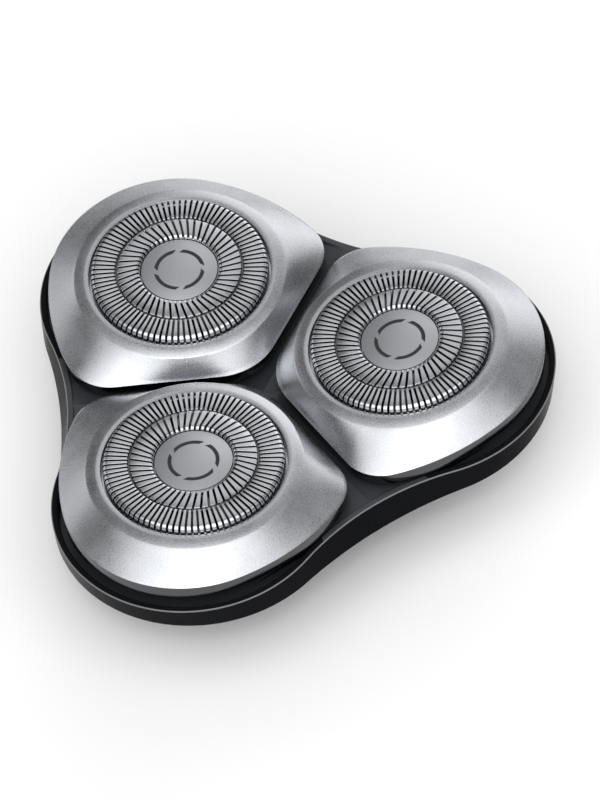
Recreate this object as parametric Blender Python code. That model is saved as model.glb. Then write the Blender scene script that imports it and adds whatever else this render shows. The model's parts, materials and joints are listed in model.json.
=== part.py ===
"""Rotary shaver head: three sprung, tilting shaving heads on a tri-lobed frame with its gear train."""
import math

import bmesh
import bpy
from mathutils import Matrix

MM = 0.001
TAU = 2 * math.pi
SIXTH = math.radians(60)

# Layout: head 1 stands on +X, the others follow anticlockwise; z = 0 is the collar's resting face
HEAD_COUNT = 3
HEAD_MARGIN = 6.75 * MM  # drive axis to the nearest edge of a guard
HEAD_LEAN = math.radians(2.8)  # heads lean in towards the drive axis
SEAT_GAP = 0.3 * MM  # between two pieces that touch
RUN_GAP = 0.3 * MM  # between two pieces that turn or slide past each other

# Guard cap: heights are measured from the face of its centre disc
GUARD_RADIUS = 11.65 * MM
GUARD_WALL = 0.4 * MM
TRACK_RISE = 0.33 * MM  # tracks stand this far above the centre disc
GUARD_SHOULDER = 0.65 * MM  # width of the rounded edge
OUTER_SLOTS = 63
OUTER_SLOT_WIDTH = 0.45 * MM
OUTER_TRACK_INNER = 8.45 * MM
SLOT_DROP = 0.85 * MM  # slots run this far down the side
INNER_SLOTS = 35
INNER_SLOT_WIDTH = 0.4 * MM
GROOVE_WIDTH = 0.35 * MM  # between the two tracks
INNER_TRACK_EDGE = 0.25 * MM  # from the recess to the inner track
GROOVE_DEPTH = 0.2 * MM
SLOT_SWIRL = math.radians(6)
SWIRL_HAND = (1, -1, -1)  # which way the inner slots of each head lean
FLANGE_WIDTH = 0.8 * MM
FLANGE_THICK = 0.55 * MM
GUARD_TRAVEL = 1.0 * MM  # how far a guard can be pressed in

# Centre disc in the guard's recess
DISC_RADIUS = 4.85 * MM
DISC_THICK = 0.5 * MM

# Bezel: smooth silver cover round each guard
LIP_DROP = 0.47 * MM
LIP_WIDTH = 0.75 * MM
LIP_THICK = 1.28 * MM
CREASE_WIDTH = 0.9 * MM
CREASE_DROP = 0.56 * MM
EDGE_DROP = 3.35 * MM
SKIRT_HEIGHT = 1.85 * MM
SKIRT_WALL = 0.9 * MM
SLOPE_SAG = 0.06  # share of its fall by which the slope hangs below a straight line
BEZEL_MARGIN = 6.7 * MM  # from the guard's edge to the bezel's outer end
BEZEL_LOBE_SHIFT = 2.05 * MM  # the outer lobe's centre lies this far outside the head's axis
BEZEL_LOBE_TURN = math.radians(50.5)
BEZEL_FLANK_EXTRA = 12.9 * MM  # the flanks' radius over the lobe's
BEZEL_EAR_RADIUS = 6.0 * MM
BEZEL_NOSE_RADIUS = 8.3 * MM
BEZEL_SPACING = 0.9 * MM  # gap between neighbouring bezels

# Pivot ring under the bezel, with two trunnions on the tilt axis
PIVOT_DROP = 5.0 * MM
RING_WALL = 0.7 * MM
RING_DEPTH = 4.2 * MM
TRUNNION_RADIUS = 0.65 * MM
POST_THICK = 1.5 * MM
POST_WIDTH = 3.2 * MM
POST_CROWN = 0.5 * MM  # material above the trunnion's hole
POST_CLEAR = 0.7 * MM  # from the pivot ring to the inside of a post
POST_ROOT = 0.5 * MM  # a post starts this far below the recess's floor
TRUNNION_CLEAR = 0.2 * MM
TRUNNION_OVERHANG = 0.2 * MM  # past the outside of a post

# Cutter: blade ring on a plastic hub
BLADE_COUNT = 12
BLADE_GAP = 0.25 * MM
BLADE_THICK = 0.7 * MM
BLADE_LEAN = math.radians(9)
BLADE_SWEEP = math.radians(7)
BLADE_RIM_GAP = 0.65 * MM  # from the blades' ends to the guard's wall
BLADE_INNER = 4.5 * MM
BLADE_PLATE_DROP = 1.8 * MM
BLADE_PLATE_THICK = 0.5 * MM
HUB_FLANGE_RADIUS = 6.4 * MM
HUB_FLANGE_THICK = 0.5 * MM
HUB_RADIUS = 3.4 * MM
HUB_LENGTH = 2.6 * MM
HUB_SOCKET_RADIUS = 2.25 * MM  # to the corners of the hexagon

# Spindles: gear, sprung tip and spring
SPINDLE_TEETH = 12
DRIVE_TEETH = 12
GEAR_THICK = 2.2 * MM
TOOTH_DEPTH = 1.7 * MM
TOOTH_ADDENDUM = 0.42  # share of the depth outside the pitch circle
TOOTH_ROOT = 0.30  # half width at the root, as a share of the tooth pitch
TOOTH_TIP = 0.11  # half width at the tip, likewise
JOURNAL_RADIUS = 1.5 * MM
JOURNAL_LENGTH = 0.9 * MM
SPINDLE_HUB_RADIUS = 2.3 * MM
SPINDLE_HUB_RISE = 0.6 * MM  # above the gear cover
TIP_STEM_RADIUS = 1.1 * MM
TIP_COLLAR_RADIUS = 2.3 * MM
TIP_COLLAR_THICK = 0.5 * MM
TIP_COLLAR_DROP = 0.5 * MM  # from the cutter's hub down to the collar
TIP_HEX_RADIUS = 1.8 * MM
TIP_REACH = 2.8 * MM
TIP_CHAMFER = 0.4 * MM
SPRING_WIRE = 0.36 * MM
SPRING_RADIUS = 1.75 * MM
SPRING_TURNS = 2.5
SPRING_SEAT = 0.1 * MM  # gap at each end of the coil

# Drive shaft with its hexagonal socket
SHAFT_RADIUS = 3.0 * MM
SHAFT_REACH = 0.8 * MM  # below the housing
SOCKET_RADIUS = 1.75 * MM
SOCKET_DEPTH = 3.0 * MM

# Frame: tri-lobed outlines as lobe centre, lobe radius and waist, all from the drive axis
RIM_LOBE_SHIFT = 1.44 * MM  # lobe centres lie this far outside the heads' axes
RIM_LOBE_EXTRA = 6.65 * MM  # lobe radius over the guard's
RIM_WAIST_EXTRA = 7.0 * MM  # waist over the pitch radius
FOOT_LOBE_SHIFT = 0.2 * MM
FOOT_LOBE_EXTRA = 7.35 * MM
FOOT_WAIST_EXTRA = 8.2 * MM
RIM_WALL = 0.9 * MM
RIM_CHAMFER = 0.2 * MM
RIM_RISE = 2.27 * MM  # from the recess's floor to the rim
DECK_THICK = 1.1 * MM
DECK_CLEAR = 0.7 * MM  # from the gear cover to the deck
FRAME_OVERLAP = 0.4 * MM  # the frame's wall reaches this far below the deck
BEZEL_CLEAR = 0.53 * MM  # from the rim up to the foot of a bezel
WELL_MARGIN = 0.95 * MM  # well over guard
RIDGE_RISE = 0.5 * MM  # of the web's ridges over the recess's floor, on the drive axis
RIDGE_SLOPE = 0.25
RIDGE_OVERRUN = 1.0 * MM  # each ridge runs this far past the drive axis into the others
FRAME_WALL = 1.6 * MM

# Lower housing, gear cover and screws
HOUSING_FLOOR = 1.2 * MM
HOUSING_WALL = 1.2 * MM
HOUSING_TAPER = 4.6 * MM  # the outline draws in by this much towards the floor
COVER_CLEAR = 0.8 * MM  # from the gears to their cover
COVER_THICK = 0.8 * MM
COVER_INSET = 6.0 * MM  # of the cover's lobes from the foot's
COVER_WAIST_INSET = 4.4 * MM  # of the cover's waists from the heads' axes
REST_POST_RADIUS = 1.2 * MM
BUSH_WALL = 1.3 * MM
SCREW_INSET = 9.0 * MM  # of the screws from the foot's waists
SCREW_RADIUS = 0.8 * MM
SCREW_LENGTH = 5.6 * MM
SCREW_HEAD_RADIUS = 1.8 * MM
SCREW_HEAD_THICK = 1.1 * MM
SCREW_SINK = 3.0 * MM  # depth of the counterbore
BOSS_WALL = 0.7 * MM

# Coupling collar on the underside
COLLAR_HEIGHT = 4.7 * MM
COLLAR_BORE = 11.6 * MM
COLLAR_WALL = 1.8 * MM
COLLAR_FLANGE_WIDTH = 1.6 * MM
COLLAR_FLANGE_THICK = 1.0 * MM
LUG_RISE = 1.0 * MM
LUG_HEIGHT = 1.2 * MM
LUG_WIDTH = 1.1 * MM
LUG_LENGTH = 6.0 * MM
LUG_ROOT = 0.5 * MM  # sunk into the collar's wall
SEAL_WIRE = 0.7 * MM

# Cutting bodies run this far past the faces they cut
OVERSHOOT = 2 * MM

# Facets round each kind of circle
FINE = 28
MEDIUM = 20
COARSE = 12
SMALL = 8
HEX = 6

# Radii and outlines that follow from the sizes above
PITCH_RADIUS = GUARD_RADIUS + HEAD_MARGIN
INNER_TRACK_OUTER = OUTER_TRACK_INNER - GROOVE_WIDTH
INNER_TRACK_INNER = DISC_RADIUS + SEAT_GAP + INNER_TRACK_EDGE
BLADE_RADIUS = GUARD_RADIUS - GUARD_WALL - BLADE_RIM_GAP
BEZEL_REACH = GUARD_RADIUS + BEZEL_MARGIN
BEZEL_LOBE_RADIUS = BEZEL_REACH - BEZEL_LOBE_SHIFT
BEZEL_FLANK_RADIUS = BEZEL_LOBE_RADIUS + BEZEL_FLANK_EXTRA
RIM_LOBE_CENTRE = PITCH_RADIUS + RIM_LOBE_SHIFT
RIM_LOBE_RADIUS = GUARD_RADIUS + RIM_LOBE_EXTRA
RIM_WAIST = PITCH_RADIUS + RIM_WAIST_EXTRA
FOOT_LOBE_CENTRE = PITCH_RADIUS + FOOT_LOBE_SHIFT
FOOT_LOBE_RADIUS = GUARD_RADIUS + FOOT_LOBE_EXTRA
FOOT_WAIST = PITCH_RADIUS + FOOT_WAIST_EXTRA
WELL_RADIUS = GUARD_RADIUS + WELL_MARGIN
COVER_LOBE_RADIUS = FOOT_LOBE_RADIUS - COVER_INSET
COVER_WAIST = PITCH_RADIUS - COVER_WAIST_INSET
SCREW_CIRCLE = FOOT_WAIST - SCREW_INSET
COLLAR_OUTER = COLLAR_BORE + COLLAR_WALL
COLLAR_FLANGE_RADIUS = COLLAR_OUTER + COLLAR_FLANGE_WIDTH

# Heights of a head, from its disc face
LIP_TOP = -LIP_DROP
LIP_BOTTOM = LIP_TOP - LIP_THICK
LIP_BORE = GUARD_RADIUS + RUN_GAP
FLANGE_TOP = LIP_BOTTOM - SEAT_GAP
FLANGE_RADIUS = GUARD_RADIUS + FLANGE_WIDTH
RING_BORE = FLANGE_RADIUS + RUN_GAP
RING_OUTER = RING_BORE + RING_WALL
RECESS_DEPTH = DISC_THICK + SEAT_GAP
GUARD_UNDERSIDE = TRACK_RISE - GUARD_WALL
BLADE_PLATE_TOP = -BLADE_PLATE_DROP
HUB_FLANGE_TOP = BLADE_PLATE_TOP - BLADE_PLATE_THICK - SEAT_GAP
HUB_BOTTOM = HUB_FLANGE_TOP - HUB_FLANGE_THICK - HUB_LENGTH
POST_INNER = RING_OUTER + POST_CLEAR
TRUNNION_END = POST_INNER + POST_THICK + TRUNNION_OVERHANG

# Heights from the resting face upwards, and the circle of the spindles
SPINDLE_CIRCLE = PITCH_RADIUS + PIVOT_DROP * math.sin(HEAD_LEAN)
HOUSING_BOTTOM = COLLAR_HEIGHT + SEAT_GAP
FLOOR_TOP = HOUSING_BOTTOM + HOUSING_FLOOR
GEAR_BOTTOM = FLOOR_TOP + SEAT_GAP + JOURNAL_LENGTH
GEAR_TOP = GEAR_BOTTOM + GEAR_THICK
COVER_BOTTOM = GEAR_TOP + COVER_CLEAR
COVER_TOP = COVER_BOTTOM + COVER_THICK
DECK_BOTTOM = COVER_TOP + DECK_CLEAR
FRAME_BOTTOM = DECK_BOTTOM - FRAME_OVERLAP
RECESS_FLOOR = DECK_BOTTOM + DECK_THICK
RIM_HEIGHT = RECESS_FLOOR + RIM_RISE
RIDGE_CENTRE = RECESS_FLOOR + RIDGE_RISE
FACE_HEIGHT = RIM_HEIGHT + BEZEL_CLEAR + EDGE_DROP + SKIRT_HEIGHT
SHAFT_BOTTOM = HOUSING_BOTTOM - SHAFT_REACH
SPINDLE_HUB_TOP = COVER_TOP + SPINDLE_HUB_RISE
HUB_REST = FACE_HEIGHT + HUB_BOTTOM
TIP_COLLAR_TOP = HUB_REST - TIP_COLLAR_DROP
TIP_COLLAR_BOTTOM = TIP_COLLAR_TOP - TIP_COLLAR_THICK
TIP_BOTTOM = GEAR_BOTTOM + GUARD_TRAVEL + 2 * SEAT_GAP
HOUSING_TOP = DECK_BOTTOM - SEAT_GAP
SCREW_HEAD_TOP = HOUSING_BOTTOM + SCREW_SINK - SEAT_GAP


def clear_scene():
    for item in list(bpy.data.objects):
        bpy.data.objects.remove(item, do_unlink=True)


def finish_material(name, colour, roughness, metallic):
    made = bpy.data.materials.new(name)
    made.use_nodes = True
    shader = made.node_tree.nodes["Principled BSDF"]
    shader.inputs["Base Color"].default_value = (*colour, 1.0)
    shader.inputs["Roughness"].default_value = roughness
    shader.inputs["Metallic"].default_value = metallic
    made.diffuse_color = (*colour, 1.0)
    return made


def place(name, mesh, finish, parent=None, location=(0, 0, 0), turn=0.0):
    """One named object with its own material."""
    item = bpy.data.objects.new(name, mesh)
    bpy.context.scene.collection.objects.link(item)
    item.location = location
    item.rotation_euler = (0, 0, turn)
    item.parent = parent
    mesh.materials.append(finish)
    return item


def to_mesh(name, shape, smooth=30):
    """Turn a bmesh into a mesh with its faces outward and its edges crisp where they bend."""
    bmesh.ops.recalc_face_normals(shape, faces=shape.faces)
    mesh = bpy.data.meshes.new(name)
    shape.to_mesh(mesh)
    shape.free()
    mesh.shade_smooth()
    mesh.set_sharp_from_angle(angle=math.radians(smooth))
    return mesh


def tool(name, shape):
    """A hidden body that only cuts or joins others."""
    item = bpy.data.objects.new(name, to_mesh(name, shape))
    bpy.context.scene.collection.objects.link(item)
    item.hide_render = True
    item.display_type = "WIRE"
    return item


def combine(item, other, operation, crossing=False):
    """Cut or join with a tool; crossing is for a tool whose own bodies run through each other."""
    step = item.modifiers.new(other.name, "BOOLEAN")
    step.operation = operation
    step.object = other
    step.solver = "EXACT"
    step.use_self = crossing


def circle(shape, radius, z, count, start=0.0):
    """A closed loop of vertices round the z axis."""
    angles = [start + TAU * k / count for k in range(count)]
    return [shape.verts.new((radius * math.cos(a), radius * math.sin(a), z)) for a in angles]


def outline_loop(shape, points, z):
    return [shape.verts.new((x, y, z)) for x, y in points]


def wrapped(angle):
    return (angle + math.pi) % TAU - math.pi


def stitch(shape, first, second):
    """Skin two loops that run anticlockwise round the z axis, whatever their counts."""
    heading = [math.atan2(v.co.y, v.co.x) for v in first]
    other = [math.atan2(v.co.y, v.co.x) for v in second]
    nearest = min(range(len(second)), key=lambda k: abs(wrapped(other[k] - heading[0])))
    second = second[nearest:] + second[:nearest]
    other = other[nearest:] + other[:nearest]
    here, there = [0.0], [wrapped(other[0] - heading[0])]
    for steps, marks in ((here, heading), (there, other)):
        for k in range(len(marks)):
            steps.append(steps[-1] + wrapped(marks[(k + 1) % len(marks)] - marks[k]))
    i = j = 0
    while i < len(first) or j < len(second):
        a, b = first[i % len(first)], second[j % len(second)]
        if j == len(second) or (i < len(first) and here[i] + here[i + 1] <= there[j] + there[j + 1]):
            i += 1
            shape.faces.new((a, first[i % len(first)], b))
        else:
            j += 1
            shape.faces.new((a, second[j % len(second)], b))


def stack(shape, loops, ring=False):
    """Skin a run of loops; a ring closes on itself, and a solid is capped at both ends."""
    for low, high in zip(loops, loops[1:]):
        stitch(shape, low, high)
    if ring:
        stitch(shape, loops[-1], loops[0])
    else:
        shape.faces.new(loops[0])
        shape.faces.new(loops[-1])


def turned(name, profile, smooth=30, ring=False):
    """A turned piece from a profile of (radius, z, facets)."""
    shape = bmesh.new()
    stack(shape, [circle(shape, radius, z, count) for radius, z, count in profile], ring)
    return to_mesh(name, shape, smooth)


def rod(shape, radius, low, high, count, centre=(0.0, 0.0)):
    """Add an upright cylinder between two heights."""
    middle = Matrix.Translation((centre[0], centre[1], (low + high) / 2))
    bmesh.ops.create_cone(shape, cap_ends=True, segments=count, radius1=radius, radius2=radius,
                          depth=high - low, matrix=middle)


def round_about(radius, count=HEAD_COUNT, start=0.0):
    """Places and headings evenly spaced on a circle."""
    for k in range(count):
        angle = start + TAU * k / count
        yield radius * math.cos(angle), radius * math.sin(angle), angle


def arc(centre, radius, begin, end, steps):
    return [(centre[0] + radius * math.cos(begin + (end - begin) * k / steps),
             centre[1] + radius * math.sin(begin + (end - begin) * k / steps)) for k in range(steps + 1)]


def tri_lobe(centre, radius, waist, lobe_steps=6, waist_steps=2):
    """Three round lobes joined by hollow waists, every arc tangent to the next."""
    hollow = (radius**2 - waist**2 + waist * centre - centre**2) / (2 * waist - centre - 2 * radius)
    reach = waist + hollow
    waist_centre = (reach * math.cos(SIXTH), reach * math.sin(SIXTH))
    contact = math.atan2(waist_centre[1], waist_centre[0] - centre)
    half = arc((centre, 0), radius, 0, contact, lobe_steps)
    half += arc(waist_centre, hollow, contact - math.pi, SIXTH - math.pi, waist_steps)[1:]
    sector = [(x, -y) for x, y in reversed(half[1:-1])] + half
    points = []
    for k in range(HEAD_COUNT):
        c, s = math.cos(TAU * k / HEAD_COUNT), math.sin(TAU * k / HEAD_COUNT)
        points += [(x * c - y * s, x * s + y * c) for x, y in sector]
    return points


def bezel_outline(inset=0.0):
    """Outline of a bezel round its own axis: a wide lobe outside, two ears, and a nose to the middle."""
    corner = -(PITCH_RADIUS - BEZEL_SPACING / 2 / math.sin(SIXTH)) + inset / math.sin(SIXTH)
    lobe, flank = BEZEL_LOBE_RADIUS - inset, BEZEL_FLANK_RADIUS - inset
    ear, nose = BEZEL_EAR_RADIUS - inset, BEZEL_NOSE_RADIUS - inset
    lobe_centre = (BEZEL_LOBE_SHIFT, 0.0)
    back = BEZEL_FLANK_EXTRA
    flank_centre = (lobe_centre[0] - back * math.cos(BEZEL_LOBE_TURN), -back * math.sin(BEZEL_LOBE_TURN))
    # The ear's centre lies one ear radius inside the straight edge and inside the flank's arc
    along = (math.cos(SIXTH), math.sin(SIXTH))
    start = (corner + ear * along[1], -ear * along[0])
    gap = (start[0] - flank_centre[0], start[1] - flank_centre[1])
    half_b = gap[0] * along[0] + gap[1] * along[1]
    rest = gap[0]**2 + gap[1]**2 - (flank - ear)**2
    step = -half_b + math.sqrt(half_b**2 - rest)
    ear_centre = (start[0] + step * along[0], start[1] + step * along[1])
    ear_angle = math.atan2(ear_centre[1] - flank_centre[1], ear_centre[0] - flank_centre[0])
    edge_angle = SIXTH + math.pi / 2
    half = arc(lobe_centre, lobe, 0, BEZEL_LOBE_TURN, 6)
    half += arc(flank_centre, flank, BEZEL_LOBE_TURN, ear_angle, 3)[1:]
    half += arc(ear_centre, ear, ear_angle, edge_angle, 5)[1:]
    half += arc((corner + nose / math.sin(SIXTH), 0.0), nose, edge_angle, math.pi, 3)
    return half + [(x, -y) for x, y in reversed(half[1:-1])]


def slot_loop(shape, radius, z, count, width, lean=0.0):
    """Two vertices for each slot, one at each of its edges."""
    spread = math.asin(width / 2 / radius)
    loop = []
    for k in range(count):
        for side in (-spread, spread):
            angle = lean + TAU * k / count + side
            loop.append(shape.verts.new((radius * math.cos(angle), radius * math.sin(angle), z)))
    return loop


def bars(shape, near, far):
    """Faces of the bars between slots; a loop with one vertex for each slot tapers them to it."""
    count = len(near) // 2
    for k in range(count):
        a, b = near[2 * k + 1], near[(2 * k + 2) % len(near)]
        if len(far) == len(near):
            c, d = far[(2 * k + 2) % len(far)], far[2 * k + 1]
        else:
            c, d = far[(k + 1) % count], far[k]
        shape.faces.new((a, b, c, d))


def guard_mesh(hand):
    """Steel cap with two slotted tracks, a groove between them and a recess for the centre disc."""
    shape = bmesh.new()
    shoulder = GUARD_RADIUS - GUARD_SHOULDER
    swirl = hand * SLOT_SWIRL
    inside = GUARD_RADIUS - GUARD_WALL
    foot = FLANGE_TOP - FLANGE_THICK
    flange = [circle(shape, radius, z, MEDIUM) for radius, z in (
        (inside, foot), (FLANGE_RADIUS, foot), (FLANGE_RADIUS, FLANGE_TOP), (GUARD_RADIUS, FLANGE_TOP))]
    side = circle(shape, GUARD_RADIUS, -SLOT_DROP, OUTER_SLOTS)
    top_far = slot_loop(shape, shoulder, TRACK_RISE, OUTER_SLOTS, OUTER_SLOT_WIDTH)
    top_near = slot_loop(shape, OUTER_TRACK_INNER, TRACK_RISE, OUTER_SLOTS, OUTER_SLOT_WIDTH)
    groove_radius = (OUTER_TRACK_INNER + INNER_TRACK_OUTER) / 2
    groove = circle(shape, groove_radius, TRACK_RISE - GROOVE_DEPTH, INNER_SLOTS)
    ring_far = slot_loop(shape, INNER_TRACK_OUTER, TRACK_RISE, INNER_SLOTS, INNER_SLOT_WIDTH, swirl)
    ring_near = slot_loop(shape, INNER_TRACK_INNER, TRACK_RISE, INNER_SLOTS, INNER_SLOT_WIDTH)
    recess = circle(shape, DISC_RADIUS + SEAT_GAP, -RECESS_DEPTH, MEDIUM)
    under_far = circle(shape, shoulder - GUARD_WALL / 4, GUARD_UNDERSIDE, OUTER_SLOTS)
    under_near = slot_loop(shape, OUTER_TRACK_INNER, GUARD_UNDERSIDE, OUTER_SLOTS, OUTER_SLOT_WIDTH)
    below_far = slot_loop(shape, INNER_TRACK_OUTER, GUARD_UNDERSIDE, INNER_SLOTS, INNER_SLOT_WIDTH, swirl)
    below_near = circle(shape, INNER_TRACK_INNER, GUARD_UNDERSIDE, INNER_SLOTS)
    floor = circle(shape, DISC_RADIUS + SEAT_GAP - GUARD_WALL, -RECESS_DEPTH - GUARD_WALL, MEDIUM)

    for low, high in zip(flange, flange[1:]):
        stitch(shape, low, high)
    stitch(shape, flange[-1], side)
    for near, far in ((top_far, side), (top_near, top_far), (ring_near, ring_far),
                      (under_near, under_far), (below_far, below_near)):
        bars(shape, near, far)
    stitch(shape, groove, top_near)
    stitch(shape, ring_far, groove)
    stitch(shape, recess, ring_near)
    stitch(shape, under_far, flange[0])
    stitch(shape, below_far, under_near)
    stitch(shape, floor, below_near)
    shape.faces.new(recess)
    shape.faces.new(floor)

    for k in range(OUTER_SLOTS):
        left, right = 2 * k, 2 * k + 1
        shape.faces.new((top_near[left], top_near[right], under_near[right], under_near[left]))
        for edge in (left, right):
            shape.faces.new((top_near[edge], top_far[edge], under_far[k], under_near[edge]))
            shape.faces.new((top_far[edge], side[k], under_far[k]))
    for k in range(INNER_SLOTS):
        left, right = 2 * k, 2 * k + 1
        shape.faces.new((ring_far[left], ring_far[right], below_far[right], below_far[left]))
        shape.faces.new((ring_near[left], ring_near[right], below_near[k]))
        for edge in (left, right):
            shape.faces.new((ring_far[edge], ring_near[edge], below_near[k], below_far[edge]))
    return to_mesh("guard", shape, 20)


def bezel_mesh():
    """Silver cover: round lip, crease, hollow slope to the outline, and a short skirt."""
    shape = bmesh.new()
    crease = LIP_BORE + LIP_WIDTH + CREASE_WIDTH
    crease_z = LIP_TOP - CREASE_DROP
    outline = bezel_outline()
    crease_ring, slope = [], []
    for x, y in outline:
        reach = math.hypot(x, y)
        crease_ring.append((x * crease / reach, y * crease / reach))
        middle = (crease + reach) / 2 / reach
        slope.append((x * middle, y * middle))
    fall = EDGE_DROP + crease_z
    skirt_foot = -EDGE_DROP - SKIRT_HEIGHT
    loops = [circle(shape, LIP_BORE, LIP_BOTTOM, FINE), circle(shape, LIP_BORE, LIP_TOP, FINE),
             circle(shape, LIP_BORE + LIP_WIDTH, LIP_TOP, FINE), outline_loop(shape, crease_ring, crease_z),
             outline_loop(shape, slope, crease_z - fall * (0.5 + SLOPE_SAG)),
             outline_loop(shape, outline, -EDGE_DROP), outline_loop(shape, outline, skirt_foot),
             outline_loop(shape, bezel_outline(SKIRT_WALL), skirt_foot),
             circle(shape, RING_OUTER + RUN_GAP, LIP_BOTTOM, FINE)]
    stack(shape, loops, ring=True)
    return to_mesh("bezel", shape)


def pivot_ring(name, finish, parent, location):
    """Tube that guides the guard, with a trunnion on each side."""
    low = LIP_BOTTOM - SEAT_GAP - RING_DEPTH
    high = low + RING_DEPTH
    profile = [(RING_BORE, low, MEDIUM), (RING_OUTER, low, MEDIUM),
               (RING_OUTER, high, MEDIUM), (RING_BORE, high, MEDIUM)]
    mesh = turned(name, profile, ring=True)
    item = place(name, mesh, finish, parent, location)
    pins = bmesh.new()
    length = TRUNNION_END - RING_BORE - RING_WALL / 2
    for side in (-1, 1):
        middle = side * (TRUNNION_END - length / 2)
        turn = Matrix.Translation((0, middle, -PIVOT_DROP)) @ Matrix.Rotation(math.pi / 2, 4, "X")
        bmesh.ops.create_cone(pins, cap_ends=True, segments=SMALL, radius1=TRUNNION_RADIUS,
                              radius2=TRUNNION_RADIUS, depth=length, matrix=turn)
    trunnions = tool(name + "_trunnions", pins)
    trunnions.parent = parent
    trunnions.location = location
    combine(item, trunnions, "UNION")
    return item


def blades_mesh():
    """Blade ring: slanted blades raised from a flat steel plate."""
    shape = bmesh.new()
    low = BLADE_PLATE_TOP - BLADE_PLATE_THICK
    lift = GUARD_UNDERSIDE - BLADE_GAP - BLADE_PLATE_TOP
    cell = TAU / BLADE_COUNT
    edges = []
    for radius, z, sweep in ((INNER_TRACK_INNER + RUN_GAP, BLADE_PLATE_TOP, 0),
                             (BLADE_RADIUS, BLADE_PLATE_TOP, BLADE_SWEEP), (BLADE_RADIUS, low, BLADE_SWEEP)):
        spread = math.asin(BLADE_THICK / 2 / radius)
        angles = [k * cell + part + sweep for k in range(BLADE_COUNT) for part in (-spread, spread, cell / 2)]
        edges.append([shape.verts.new((radius * math.cos(a), radius * math.sin(a), z)) for a in angles])
    root, rim, foot = edges
    feet = []
    for k in range(len(root)):
        n = (k + 1) % len(root)
        face = shape.faces.new((root[k], root[n], rim[n], rim[k]))
        shape.faces.new((rim[k], rim[n], foot[n], foot[k]))
        if k % 3 == 0:
            feet.append(face)
    bore = [circle(shape, BLADE_INNER, z, COARSE) for z in (low, BLADE_PLATE_TOP)]
    for first, second in ((foot, bore[0]), bore, (bore[1], root)):
        stitch(shape, first, second)
    bmesh.ops.recalc_face_normals(shape, faces=shape.faces)
    for face in bmesh.ops.extrude_discrete_faces(shape, faces=feet)["faces"]:
        raise_blade = Matrix.Translation((0, 0, lift)) @ Matrix.Rotation(BLADE_LEAN, 4, "Z")
        bmesh.ops.transform(shape, matrix=raise_blade, verts=face.verts)
    return to_mesh("blades", shape)


def gear_outline(teeth, pitch_radius, turn=0.0):
    """Straight-sided teeth, thinner than their spaces so that two gears run free of each other."""
    points = []
    outer = pitch_radius + TOOTH_DEPTH * TOOTH_ADDENDUM
    inner = outer - TOOTH_DEPTH
    cell = TAU / teeth
    for k in range(teeth):
        for radius, share in ((inner, -TOOTH_ROOT), (outer, -TOOTH_TIP),
                              (outer, TOOTH_TIP), (inner, TOOTH_ROOT)):
            angle = turn + (k + share) * cell
            points.append((radius * math.cos(angle), radius * math.sin(angle)))
    return points


def pitch_radii():
    """The drive gear and a spindle gear share the distance between their axes by their teeth."""
    share = DRIVE_TEETH / (DRIVE_TEETH + SPINDLE_TEETH)
    return SPINDLE_CIRCLE * share, SPINDLE_CIRCLE * (1 - share)


def drive_gear_mesh():
    shape = bmesh.new()
    teeth = gear_outline(DRIVE_TEETH, pitch_radii()[0])
    loops = [circle(shape, SOCKET_RADIUS, SHAFT_BOTTOM + SOCKET_DEPTH, HEX),
             circle(shape, SOCKET_RADIUS, SHAFT_BOTTOM, HEX),
             circle(shape, SHAFT_RADIUS, SHAFT_BOTTOM, COARSE),
             circle(shape, SHAFT_RADIUS, GEAR_BOTTOM, COARSE),
             outline_loop(shape, teeth, GEAR_BOTTOM), outline_loop(shape, teeth, GEAR_TOP),
             circle(shape, JOURNAL_RADIUS, GEAR_TOP, SMALL), circle(shape, JOURNAL_RADIUS, COVER_TOP, SMALL)]
    stack(shape, loops)
    return to_mesh("drive_gear", shape)


def spindle_gear_mesh(angle):
    """Spindle gear: journal below, teeth, and a hub whose bore guides the sprung tip."""
    shape = bmesh.new()
    # A tooth space meets the drive gear's tooth that stands nearest to the line between the axes
    past_tooth = angle % (TAU / DRIVE_TEETH)
    mesh_turn = math.pi + TAU / SPINDLE_TEETH / 2 + past_tooth * DRIVE_TEETH / SPINDLE_TEETH
    teeth = gear_outline(SPINDLE_TEETH, pitch_radii()[1], mesh_turn)
    bore = TIP_STEM_RADIUS / math.cos(math.pi / HEX) + RUN_GAP / 2
    loops = [circle(shape, JOURNAL_RADIUS, GEAR_BOTTOM - JOURNAL_LENGTH, SMALL),
             circle(shape, JOURNAL_RADIUS, GEAR_BOTTOM, SMALL),
             outline_loop(shape, teeth, GEAR_BOTTOM), outline_loop(shape, teeth, GEAR_TOP),
             circle(shape, SPINDLE_HUB_RADIUS, GEAR_TOP, COARSE),
             circle(shape, SPINDLE_HUB_RADIUS, SPINDLE_HUB_TOP, COARSE),
             circle(shape, bore, SPINDLE_HUB_TOP, HEX), circle(shape, bore, GEAR_BOTTOM, HEX)]
    stack(shape, loops)
    return to_mesh("spindle_gear", shape)


def spring_curve(name):
    """Coil spring between the gear's hub and the tip's collar."""
    low = SPINDLE_HUB_TOP + SPRING_WIRE / 2 + SPRING_SEAT
    high = TIP_COLLAR_BOTTOM - SPRING_WIRE / 2 - SPRING_SEAT
    steps = round(SPRING_TURNS * SMALL)
    curve = bpy.data.curves.new(name, "CURVE")
    curve.dimensions = "3D"
    coil = curve.splines.new("POLY")
    coil.points.add(steps)
    for k, point in enumerate(coil.points):
        angle = TAU * SPRING_TURNS * k / steps
        point.co = (SPRING_RADIUS * math.cos(angle), SPRING_RADIUS * math.sin(angle),
                    low + (high - low) * k / steps, 1)
    curve.bevel_depth = SPRING_WIRE / 2
    curve.bevel_resolution = 0
    curve.use_fill_caps = True
    return curve


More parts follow.
